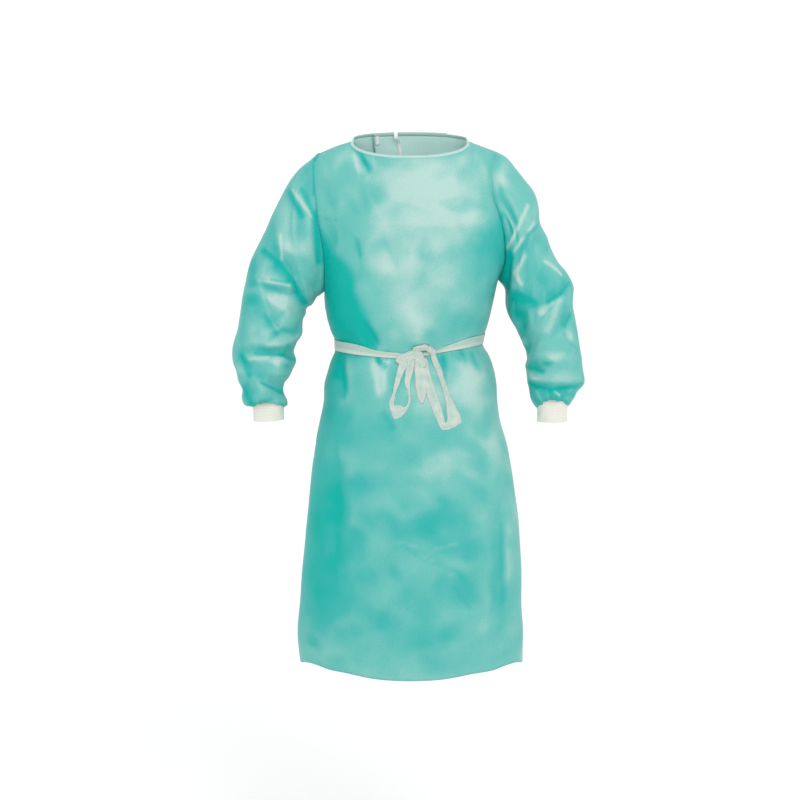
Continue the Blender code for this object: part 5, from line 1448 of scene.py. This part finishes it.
def long_tie(within, outside, binding, sizes, materials):
    """The long tie: from its knot outside, over the neck edge and down the inside."""
    x = TIE_LONG_X[0]
    crossed = [v.co for v in binding.data.vertices if abs(v.co.x - x) < TIE_NEAR and v.co.y > 0]
    over_z, edge_z = max(p.z for p in crossed), tie_edge_z()
    ys = [p.y for p in crossed]
    heights = [edge_z - below for below in TIE_PROBES]
    outer_y = max([cast(outside, (x, 1, z), (0, -1, 0))[0][1] for z in heights] + ys) + TIE_LIFT
    inner_y = min([cast(within, (x, 0, z), (0, 1, 0))[0][1] for z in heights] + ys) - TIE_LIFT
    rise = [(0.0, edge_z - TIE_TURN[0]), (0.0, edge_z + TIE_TURN[1])]
    rise += [(TIE_CORNER[0], over_z - TIE_CORNER[1])]
    line = [(x, outer_y, edge_z - TIE_LONG_OUTSIDE)]
    line += [(x, outer_y - inward, z) for inward, z in rise]
    line += [(x, (outer_y + inner_y) / 2, over_z + TIE_TOP)]
    line += [(x, inner_y + inward, z) for inward, z in rise[::-1]]
    for share in np.linspace(0.08, 1, 12):
        z = edge_z - TIE_LONG_DOWN * share
        x = TIE_LONG_X[0] + (TIE_LONG_X[1] - TIE_LONG_X[0]) * share
        x += TIE_LONG_SWAY * math.sin(math.pi * share**0.6)
        line.append((x, cast(within, (x, 0, z), (0, 1, 0))[0][1] - TIE_LIFT, z))
    line = np.array(line)
    keys = run_along(line)
    middles = read_between(line[:, None], keys, np.arange(0, keys[-1], TIE_LONG_STEP), 0)[:, 0]
    outs = unit(np.cross(np.gradient(middles, axis=0), np.array([1.0, 0, 0])))
    return tie_piece("neck_tie_strip", middles, outs, 0.12, sizes, materials)


def tie_edge_z():
    """Height of the neck edge where the long tie crosses it."""
    edge = neck_edge(NECK_BACK, BACK_COLUMNS)
    return float(np.interp(TIE_LONG_X[0], edge[:, 0], edge[:, 2]))


def belt(front, back, sizes, materials):
    """The belt round the waist, gathered towards the knot, its lower edge lying double."""
    low, high, pinch = [], [], []
    for grid, table in ((front, BELT_FRONT), (back, BELT_BACK)):
        for j in range(grid.shape[1] - 1):
            x = height_point(grid[:, j], table.rows[1, 1])[0]
            z, half = table.at("z", x), table.at("half_width", x)
            low.append(height_point(grid[:, j], z - half))
            high.append(height_point(grid[:, j], z + half))
            near = math.exp(-(((x - KNOT_MIDDLE_X) / BELT_PINCH) ** 2))
            pinch.append(near if table is BELT_FRONT else 0.0)
    low, high, pinch = np.array(low), np.array(high), np.array(pinch)
    share = np.linspace(0, 1, 2 * TAPE_ACROSS)[:, None]
    base = low[None] * (1 - share)[..., None] + high[None] * share[..., None]
    along = np.roll(base[0], -1, 0) - np.roll(base[0], 1, 0)
    outward = unit(np.cross(along, high - low))[None]
    run = run_along(low)[None]
    height, short, long = BELT_RIPPLE
    ripple = np.abs(height * np.sin(run / short + 5 * share) * np.sin(run / long))
    pleats = BELT_PLEATS * pinch[None] * np.cos(share * 15 + run * 18)
    doubled, raised = BELT_DOUBLE
    double = raised * ease((doubled - share) / 0.1)
    heights = BELT_LIFT + sizes.tape + ripple + pleats + double + BELT_PINCH_LIFT * pinch
    grid = base + outward * heights[..., None]
    tone = 0.25 + 0.6 * ease((doubled - share) / 0.12) + 0.55 * pinch[None]
    return strip_piece("belt_tape", grid, True, outward, tone, sizes, materials)


def bow_piece(name, table, surface, sizes, materials):
    """A strip of the bow over the skirt, creased lengthwise, its edges off the cloth."""
    places = np.linspace(table.rows[0, 0], table.rows[-1, 0], (len(table.rows) - 1) * BOW_FINE + 1)
    rows = {key: table.at(key, places) for key in table.names[1:]}
    grid = np.zeros((len(places), BOW_ACROSS, 3))
    tone = np.zeros(grid.shape[:2])
    for i, place in enumerate(places):
        drift = 1.3 * math.sin(place * 0.55)
        for j, across in enumerate(np.linspace(0, 1, BOW_ACROSS)):
            x = rows["outer_x"][i] * (1 - across) + rows["inner_x"][i] * across
            z = rows["outer_z"][i] * (1 - across) + rows["inner_z"][i] * across
            wander = noise.noise_vector(Vector((x, 0.3, z)) / BOW_WANDER[1]) * BOW_WANDER[0]
            found, out = cast(surface, (x + wander.x, -1, z + wander.z), (0, 1, 0))
            crease = abs(math.sin(across * 4.2 + drift))
            ripple = BOW_RIPPLE[0] * noise.noise(Vector((x, 0.7, z)) / BOW_RIPPLE[1])
            lift = rows["lift"][i] + BOW_CREASE * crease + max(ripple, BOW_LOWEST)
            grid[i, j] = found + out * (lift * (1 - (2 * across - 1) ** 4) + sizes.tape)
            mottle = BOW_MOTTLE[0] * noise.noise(Vector((x, 0.1, z)) / BOW_MOTTLE[1])
            tone[i, j] = 0.48 + 0.30 * (2 * across - 1) ** 6 + 0.22 * crease + mottle
    return strip_piece(name, grid, False, (0.0, -1.0, 0.0), tone, sizes, materials)


def knot(name, turns, surface, start_y, sizes, materials):
    """A tied knot: rounded turns of tape that lie over one another on a surface."""
    low, high = turns[:, [0, 2]].min(), turns[:, [0, 2]].max()
    x = np.arange(low - KNOT_MARGIN, high + KNOT_MARGIN, KNOT_STEP)
    low, high = turns[:, [1, 3]].min(), turns[:, [1, 3]].max()
    z = np.arange(low - KNOT_MARGIN, high + KNOT_MARGIN, KNOT_STEP)
    flat = np.stack(np.meshgrid(x, z, indexing="ij"), -1)
    heights, groove_shade = np.zeros(flat.shape[:2]), np.zeros(flat.shape[:2])
    for x0, z0, x1, z1, width, height in turns:
        start, run = np.array([x0, z0]), np.array([x1 - x0, z1 - z0])
        along = ((flat - start) @ run) / (run @ run)
        offset = flat - start - clamped(along)[..., None] * run
        away = np.linalg.norm(offset, axis=-1) / width
        across = (offset @ np.array([run[1], -run[0]])) / np.linalg.norm(run) / width
        creased = 0.10 * np.cos(across * 9 + 2 * along) + 0.05 * np.cos(across * 17 - 3 * along)
        rise = height * np.sqrt(np.clip(1 - away**2, 0, 1)) * (1 + creased)
        groove_shade = np.where(rise > heights, creased, groove_shade)
        heights = np.maximum(heights, rise)
    side = math.copysign(1, start_y)
    grid = np.zeros((*flat.shape[:2], 3))
    for i, j in np.ndindex(flat.shape[:2]):
        place, out = cast(surface, (flat[i, j, 0], start_y, flat[i, j, 1]), (0, -side, 0))
        grid[i, j] = place + out * (heights[i, j] + sizes.tape)
    raised = heights.ravel() > KNOT_LEAST
    faces = [face for face in grid_faces(*flat.shape[:2], False) if all(raised[k] for k in face)]
    kept = sorted({k for face in faces for k in face})
    place = {k: n for n, k in enumerate(kept)}
    faces = [tuple(place[k] for k in face) for face in faces]
    points = grid.reshape(-1, 3)[kept]
    outs = np.broadcast_to(np.array([0.0, side, 0.0]), points.shape)
    made = mesh_piece(name, points, faces, materials, outs)
    # Painted shade: the tone is darker down in the grooves between the wrapped turns and paler on
    # their tops.
    add_attribute(made, "tone", np.clip(0.65 + 2.2 * groove_shade.ravel()[kept], 0, 1))
    thicken(made, sizes.tape, 0)
    return made


def cuff(name, table, sizes, materials):
    """A knitted cuff: a double wall with raised ribs, rounded at its free end."""
    columns = sizes.rib_count * RIB_POINTS
    turn = 2 * math.pi * np.arange(columns) / columns
    rings = np.array([table_ring(row, turn, 1.0) for row in table.rows])
    keys = np.arange(len(rings), dtype=float)
    rings = read_between(rings, keys, np.linspace(0, keys[-1], CUFF_ROWS), 0)
    down = unit(rings[1] - rings[0])
    rings = np.concatenate([rings[:1] - down * CUFF_TUCK, rings])
    normals = grid_normals(rings, True)
    low = np.linspace(0, 1, len(rings))[:, None]
    rib = sizes.rib_height * (0.5 + 0.5 * np.cos(sizes.rib_count * turn))[None] ** 0.7
    slack = CUFF_SLACK[0] * np.sin(3 * turn[None] + 4 * low)
    slack = slack + CUFF_SLACK[1] * np.sin(7 * turn[None] - 6 * low)
    height = rib - sizes.rib_height + slack - CUFF_DRAWN_IN * (1 - low) ** 6
    outer = rings + normals * height[..., None]
    inner = rings - normals * (CUFF_WALL - slack)[..., None]
    fall = unit(rings[-1] - rings[-2]) * CUFF_WALL / 2
    middle = (outer[-1] + inner[-1]) / 2
    count, stand = CUFF_END
    turned = [
        middle + (outer[-1] - middle) * math.cos(a) + fall * math.sin(a) * stand
        for a in np.linspace(0, math.pi, count)[1:-1]
    ]
    grid = np.concatenate([outer, np.array(turned), inner[::-1]])
    faces = grid_faces(*grid.shape[:2], True)
    last = (len(grid) - 1) * columns
    faces += [(j, last + j, last + (j + 1) % columns, (j + 1) % columns) for j in range(columns)]
    made = mesh_piece(name, grid, faces, materials)
    add_attribute(made, "tone", np.ones(grid.shape[:2]))
    add_cloth_map(made, grid, True)
    point_out(made)
    return made


def mirrored(table):
    """The same creases or marks on the other sleeve."""
    rows = [(-x0, z0, -x1, z1, *rest) for x0, z0, x1, z1, *rest in table.rows]
    if "left" in table.names:
        rows = [(*row[:4], row[5], row[4], row[6]) for row in rows]
    return Table(" ".join(table.names), rows)


def add_node(tree, kind, settings=(), links=()):
    """Adds a node: settings are (input or property, value), links are (input, socket)."""
    node = tree.nodes.new(kind)
    for key, value in settings:
        if isinstance(key, str) and hasattr(node, key):
            setattr(node, key, value)
        else:
            node.inputs[key].default_value = value
    for key, socket in links:
        tree.links.new(socket, node.inputs[key])
    return node


def new_material(name, **finish):
    """A material with these values on its shader, and its nodes and that shader."""
    material = bpy.data.materials.new(name)
    material.use_nodes = True
    shader = material.node_tree.nodes["Principled BSDF"]
    for key, value in finish.items():
        shader.inputs[key.replace("_", " ")].default_value = value
    return material, material.node_tree, shader


NOISE = "ShaderNodeTexNoise"
MATH = "ShaderNodeMath"
MIX = "ShaderNodeMix"
BUMP = "ShaderNodeBump"

# Spunbonded polypropylene: a mat of fine fibres, welded by a grid of small points. The
# eye sees soft clouds where the mat is thin, and a faint film-like gloss on the folds.
CLOUD_SCALE = 1 / 0.085
CLOUD_SHARE = 0.15  # how much the clouds of the fibre mat change the tone
FIBRE_SCALE = 1 / 0.0035
FIBRE_SHARE = 0.20
WELD_SCALE = 1 / 0.0042  # real points are 1 mm apart, drawn coarser so that they show
WELD_DEPTH = 0.0006
CRINKLE_SCALE = 1 / 0.016
CRINKLE_DEPTH = 0.0022
ROUGHNESS_SPREAD = 0.22
SHADE_PLACES = (0.0, 0.4, 0.7, 1.0)  # tones of the four shades, from deep to pale


def spunbond(name, shades, roughness, gloss):
    material, tree, shader = new_material(name, Specular_IOR_Level=gloss, IOR=1.49)
    place = [("Vector", add_node(tree, "ShaderNodeTexCoord").outputs["Object"])]
    tone = add_node(tree, "ShaderNodeAttribute", [("attribute_name", "tone")]).outputs["Fac"]
    clouds = [("Scale", CLOUD_SCALE), ("Detail", 4.0), ("Roughness", 0.50)]
    cloud = add_node(tree, NOISE, clouds, place).outputs["Fac"]
    fibre = add_node(tree, NOISE, [("Scale", FIBRE_SCALE), ("Detail", 3.0)], place).outputs["Fac"]
    crinkle = add_node(tree, NOISE, [("Scale", CRINKLE_SCALE), ("Detail", 6.0)], place).outputs["Fac"]
    welds = [("Scale", WELD_SCALE), ("Randomness", 0.35)]
    weld = add_node(tree, "ShaderNodeTexVoronoi", welds, place).outputs["Distance"]
    share = tone
    for pattern, strength in ((cloud, CLOUD_SHARE), (fibre, FIBRE_SHARE)):
        from_middle = add_node(tree, MATH, [("operation", "SUBTRACT"), (1, 0.5)], [(0, pattern)])
        added = [("operation", "MULTIPLY_ADD"), (1, strength)]
        share = add_node(tree, MATH, added, [(0, from_middle.outputs[0]), (2, share)]).outputs[0]
    # The tone that picks the shade carries painted light and shade, as well as the cloth's clouds.
    ramp = add_node(tree, "ShaderNodeValToRGB", [], [(0, share)])
    while len(ramp.color_ramp.elements) < len(shades):
        ramp.color_ramp.elements.new(0.5)
    for element, position, shade in zip(ramp.color_ramp.elements, SHADE_PLACES, shades):
        element.position, element.color = position, (*shade, 1)
    tree.links.new(ramp.outputs["Color"], shader.inputs["Base Color"])
    least = roughness - ROUGHNESS_SPREAD / 2
    rough = [("operation", "MULTIPLY_ADD"), (1, ROUGHNESS_SPREAD), (2, least)]
    rough = add_node(tree, MATH, rough, [(0, crinkle)])
    tree.links.new(rough.outputs[0], shader.inputs["Roughness"])
    crease = [("Strength", 0.35), ("Distance", CRINKLE_DEPTH)]
    crease = add_node(tree, BUMP, crease, [("Height", crinkle)])
    dents = [("Strength", 0.10), ("Distance", WELD_DEPTH)]
    dents = add_node(tree, BUMP, dents, [("Height", weld), ("Normal", crease.outputs[0])])
    tree.links.new(dents.outputs[0], shader.inputs["Normal"])
    return material


KNIT_ROWS = 0.0032  # distance between rows of loops, drawn twice as coarse as real ones
WAVE_BAND = 2 * math.pi / 20  # distance between the bands of a wave texture at scale 1
YARN_SHADE = 0.80  # of the yarn's colour, as painted shade down between its loops


def knitted(name, yarn):
    """Fine polyester rib: rows of small loops, matt and slightly fluffy."""
    finish = {"Roughness": 0.9, "Sheen_Weight": 0.35, "Sheen_Roughness": 0.5, "IOR": 1.5}
    material, tree, shader = new_material(name, **finish)
    chart = add_node(tree, "ShaderNodeUVMap", [("uv_map", "cloth")]).outputs[0]
    rows = [("bands_direction", "Y"), ("Scale", WAVE_BAND / KNIT_ROWS), ("Distortion", 1.2)]
    rows += [("Detail", 2.0), ("Detail Scale", 2.0)]
    loops = add_node(tree, "ShaderNodeTexWave", rows, [("Vector", chart)])
    place = add_node(tree, "ShaderNodeTexCoord").outputs["Object"]
    fluff = [("Scale", 2 / KNIT_ROWS), ("Detail", 4.0)]
    fluff = add_node(tree, NOISE, fluff, [("Vector", place)])
    both = [(0, loops.outputs["Fac"]), (1, fluff.outputs["Fac"])]
    share = add_node(tree, MATH, [("operation", "MULTIPLY")], both).outputs[0]
    pale = add_node(tree, MATH, [("operation", "ADD"), (1, 0.45)], [(0, share)]).outputs[0]
    shades = [(6, (*(c * YARN_SHADE for c in yarn), 1)), (7, (*yarn, 1))]
    base = add_node(tree, MIX, [("data_type", "RGBA"), *shades], [(0, pale)])
    tree.links.new(base.outputs[2], shader.inputs["Base Color"])
    bump = add_node(tree, BUMP, [("Strength", 0.45), ("Distance", 0.0006)], [("Height", share)])
    tree.links.new(bump.outputs[0], shader.inputs["Normal"])
    return material


def tape_cloth(name, thin, thick):
    """Nonwoven tape: paper-like, whiter where it lies double, with teal showing through."""
    finish = {"Roughness": 0.62, "Specular_IOR_Level": 0.4, "IOR": 1.49, "Sheen_Weight": 0.15}
    material, tree, shader = new_material(name, **finish)
    place = [("Vector", add_node(tree, "ShaderNodeTexCoord").outputs["Object"])]
    tone = add_node(tree, "ShaderNodeAttribute", [("attribute_name", "tone")]).outputs["Fac"]
    fibres = [("Scale", 1 / 0.006), ("Detail", 5.0), ("Roughness", 0.6)]
    mat = add_node(tree, NOISE, fibres, place).outputs["Fac"]
    shift = add_node(tree, MATH, [("operation", "SUBTRACT"), (1, 0.5)], [(0, mat)]).outputs[0]
    added = [("operation", "MULTIPLY_ADD"), ("use_clamp", True), (1, 0.8)]
    share = add_node(tree, MATH, added, [(0, shift), (2, tone)]).outputs[0]
    shades = [(6, (*thin, 1)), (7, (*thick, 1))]
    base = add_node(tree, MIX, [("data_type", "RGBA"), *shades], [(0, share)])
    tree.links.new(base.outputs[2], shader.inputs["Base Color"])
    bump = add_node(tree, BUMP, [("Strength", 0.3), ("Distance", 0.0006)], [("Height", mat)])
    tree.links.new(bump.outputs[0], shader.inputs["Normal"])
    return material


def studio_paint(name, shade):
    """Matt white paint of the studio's floor and wall."""
    material, tree, shader = new_material(name, Roughness=0.95, Specular_IOR_Level=0.1)
    grain = add_node(tree, NOISE, [("Scale", 3.0), ("Detail", 2.0)])
    shades = [(6, (*(c * 0.985 for c in shade), 1)), (7, (*shade, 1))]
    base = add_node(tree, MIX, [("data_type", "RGBA"), *shades], [(0, grain.outputs["Fac"])])
    tree.links.new(base.outputs[2], shader.inputs["Base Color"])
    return material


def settings():
    scene = bpy.context.scene
    return scene.gown_sizes, scene.gown_colours


BUILT = {}  # grids and surfaces of the cloth that later pieces lie on


class GOWN_OT_cloth(bpy.types.Operator):
    """Make the panels and sleeves with their folds"""

    bl_idname = "gown.cloth"
    bl_label = "Panels and sleeves"

    def execute(self, context):
        noise.seed_set(NOISE_SEED)
        sizes, colours = settings()
        shades = (colours.deep, colours.middle, colours.soft, colours.pale)
        outside = spunbond("spunbond_polypropylene_teal", shades, 0.44, 0.12)
        # The inner face's shades are brightened as painted light, for the dim inside of the neck.
        shades = (colours.middle, colours.lining, colours.lining, colours.inside)
        inside = spunbond("spunbond_polypropylene_inner_face", shades, 0.62, 0.2)
        materials = [outside, inside]
        front = panel_grid(0.0, math.pi, FRONT_COLUMNS, NECK_FRONT, -ARMHOLE_FRONT)
        back = panel_grid(math.pi, 2 * math.pi, BACK_COLUMNS, NECK_BACK, ARMHOLE_BACK)
        right_half = back[:, BACK_COLUMNS - LAP_COLUMNS :]
        left_half = lap_inside(back[:, : LAP_COLUMNS + 1])
        sleeve_right = sleeve_grid(SLEEVE_RIGHT, ARMHOLE_RIGHT)
        sleeve_left = sleeve_grid(SLEEVE_LEFT, ARMHOLE_LEFT)
        BUILT["plain"] = front, back
        body = [(FRONT_FOLDS, 1), (BACK_FOLDS, -1)]
        right = [(SLEEVE_RIGHT_CREASES, 1), (mirrored(SLEEVE_LEFT_CREASES), -1)]
        left = [(SLEEVE_LEFT_CREASES, 1), (mirrored(SLEEVE_RIGHT_CREASES), -1)]
        front_marks = [(FRONT_PAINTED_LIGHT_MARKS, 1)]
        right_marks = [(SLEEVE_RIGHT_PAINTED_LIGHT_MARKS, 1), (mirrored(SLEEVE_LEFT_PAINTED_LIGHT_MARKS), -1)]
        left_marks = [(SLEEVE_LEFT_PAINTED_LIGHT_MARKS, 1), (mirrored(SLEEVE_RIGHT_PAINTED_LIGHT_MARKS), -1)]
        for name, grid, closed, side, folds, creases, marks, sewn in (
            ("front_panel", front, False, 1, body, [], front_marks, ("first", "last")),
            ("back_right_panel", right_half, False, -1, body, [], [], ("last",)),
            ("back_left_panel", left_half, False, -1, body, [], [], ("first",)),
            ("sleeve_right", sleeve_right, True, 0, [], right, right_marks, ("low",)),
            ("sleeve_left", sleeve_left, True, 0, [], left, left_marks, ("low",)),
        ):
            made, BUILT[name] = cloth_piece(
                name + "_cloth", grid, closed, side, folds, creases, marks, sewn, sizes, materials
            )
            stands_for(made, name)
        return {"FINISHED"}


class GOWN_OT_cuffs(bpy.types.Operator):
    """Make the two knitted cuffs"""

    bl_idname = "gown.cuffs"
    bl_label = "Cuffs"

    def execute(self, context):
        sizes, colours = settings()
        knit = knitted("polyester_rib_knit_off_white", colours.knit)
        for name, table in (("cuff_right", CUFF_RIGHT), ("cuff_left", CUFF_LEFT)):
            stands_for(cuff(name + "_knit", table, sizes, [knit]), name)
        return {"FINISHED"}


class GOWN_OT_neck(bpy.types.Operator):
    """Make the neck binding, its two ties and their knot"""

    bl_idname = "gown.neck"
    bl_label = "Neck binding and ties"

    def execute(self, context):
        sizes, colours = settings()
        strip = [tape_cloth("spunbond_binding_pale", colours.pale, colours.binding)]
        # The ties' thin colour is the inner face's brightened one: painted light inside the neck.
        tie_strip = [tape_cloth("spunbond_tie_white", colours.inside, colours.tie)]
        side = SHOULDER_COLUMNS * COLUMN_FINE
        edges = []
        for name, columns in (
            ("back_right_panel", slice(0, (LAP_COLUMNS - SHOULDER_COLUMNS) * COLUMN_FINE)),
            ("front_panel", slice(side, (FRONT_COLUMNS - SHOULDER_COLUMNS) * COLUMN_FINE)),
            ("back_left_panel", slice(side, LAP_COLUMNS * COLUMN_FINE + 1)),
        ):
            points = BUILT[name]
            normals = grid_normals(points, False)
            edges.append((points[-1, columns], normals[-1, columns], points[-3, columns]))
        binding = neck_binding(edges, sizes, strip)
        inner, outside = BUILT["back_left_panel"], surface_of(BUILT["back_right_panel"])
        within = surface_of(inner - grid_normals(inner, False) * sizes.cloth)
        stands_for(binding, "neck_binding")
        stands_for(short_tie(within, inner[:, -1], sizes, tie_strip), "neck_tie_short")
        stands_for(long_tie(within, outside, binding, sizes, tie_strip), "neck_tie_long")
        x, z = TIE_LONG_X[0], tie_edge_z() - TIE_LONG_OUTSIDE - BEAD_BELOW
        turns = TIE_KNOT + np.array([x, z, x, z, 0, 0])
        bead = knot("neck_tie_bead", turns, outside, 1.0, sizes, tie_strip)
        stands_for(bead, "neck_tie_knot")
        return {"FINISHED"}


class GOWN_OT_belt(bpy.types.Operator):
    """Make the belt, its knot and its bow"""

    bl_idname = "gown.belt"
    bl_label = "Belt and bow"

    def execute(self, context):
        noise.seed_set(NOISE_SEED)
        sizes, colours = settings()
        tape = [tape_cloth("spunbond_tape_white", colours.thin_tape, colours.tape)]
        front, back = (finer(grid, False, sizes.row_step, BELT_FINE) for grid in BUILT["plain"])
        stands_for(belt(front, back, sizes, tape), "belt")
        surface = surface_of(BUILT["front_panel"])
        for name, table in (
            ("bow_loop_left", BOW_LEFT),
            ("bow_loop_right", BOW_RIGHT),
            ("bow_tail", BOW_TAIL),
        ):
            stands_for(bow_piece(name + "_tape", table, surface, sizes, tape), name)
        tied = knot("belt_knot_tape", BELT_KNOT, surface, -1.0, sizes, tape)
        stands_for(tied, "belt_knot")
        return {"FINISHED"}


class GOWN_OT_studio(bpy.types.Operator):
    """Make the pale floor, the soft lights and the camera"""

    bl_idname = "gown.studio"
    bl_label = "Studio"

    def execute(self, context):
        _, colours = settings()
        bpy.ops.object.select_all(action="DESELECT")
        bpy.ops.mesh.primitive_plane_add(size=FLOOR_SIZE, location=(0, 0, FLOOR_Z))
        floor = context.object
        floor.name = "studio_floor"
        bpy.ops.object.mode_set(mode="EDIT")
        bpy.ops.mesh.select_mode(type="EDGE")
        bpy.ops.mesh.select_all(action="DESELECT")
        bpy.ops.object.mode_set(mode="OBJECT")
        for edge in floor.data.edges:
            ends = [floor.data.vertices[k].co.y for k in edge.vertices]
            edge.select = min(ends) > 0
        bpy.ops.object.mode_set(mode="EDIT")
        bpy.ops.mesh.extrude_region_move(TRANSFORM_OT_translate={"value": (0, 0, FLOOR_SIZE / 2)})
        bpy.ops.object.mode_set(mode="OBJECT")
        corner = floor.modifiers.new("corner", "BEVEL")
        corner.width, corner.segments = FLOOR_CORNER
        corner.limit_method = "ANGLE"
        bpy.ops.object.modifier_apply(modifier=corner.name)
        bpy.ops.object.transform_apply(location=True, rotation=True, scale=True)
        bpy.ops.object.shade_smooth()
        floor.data.materials.append(studio_paint("matt_white_studio_paint", colours.floor))
        for name, place, target, size, power in LIGHTS:
            bpy.ops.object.light_add(type="AREA", location=place)
            lamp = context.object
            lamp.name = name
            lamp.data.size, lamp.data.energy = size, power
            aim = Vector(target) - Vector(place)
            lamp.rotation_euler = aim.to_track_quat("-Z", "Y").to_euler()
        world = context.scene.world or bpy.data.worlds.new("studio_world")
        context.scene.world = world
        world.use_nodes = True
        sky = world.node_tree.nodes["Background"]
        sky.inputs["Color"].default_value = (*WORLD_COLOUR, 1)
        sky.inputs["Strength"].default_value = WORLD_STRENGTH
        aim = (math.pi / 2 - CAMERA_DOWN, 0, 0)
        bpy.ops.object.camera_add(location=CAMERA_PLACE, rotation=aim)
        camera = context.object
        camera.data.lens, camera.data.sensor_width = CAMERA_LENS, SENSOR_WIDTH
        context.scene.camera = camera
        context.scene.view_settings.view_transform = "Standard"
        return {"FINISHED"}


class GOWN_PT_panel(bpy.types.Panel):
    """Lists the pieces of the gown"""

    bl_idname = "GOWN_PT_panel"
    bl_label = "Hospital gown"
    bl_space_type = "VIEW_3D"
    bl_region_type = "UI"
    bl_category = "Gown"

    def draw(self, context):
        for group in settings():
            for key in group.__annotations__:
                self.layout.prop(group, key)
        for operator in OPERATORS:
            self.layout.operator(operator.bl_idname)


OPERATORS = (GOWN_OT_cloth, GOWN_OT_cuffs, GOWN_OT_neck, GOWN_OT_belt, GOWN_OT_studio)
CLASSES = (GownSizes, GownColours, *OPERATORS, GOWN_PT_panel)


def register():
    for item in CLASSES:
        bpy.utils.register_class(item)
    bpy.types.Scene.gown_sizes = bpy.props.PointerProperty(type=GownSizes)
    bpy.types.Scene.gown_colours = bpy.props.PointerProperty(type=GownColours)


def unregister():
    del bpy.types.Scene.gown_sizes, bpy.types.Scene.gown_colours
    for item in reversed(CLASSES):
        bpy.utils.unregister_class(item)


def main():
    register()
    bpy.ops.gown.cloth()
    bpy.ops.gown.cuffs()
    bpy.ops.gown.neck()
    bpy.ops.gown.belt()
    bpy.ops.gown.studio()


if __name__ == "__main__":
    main()
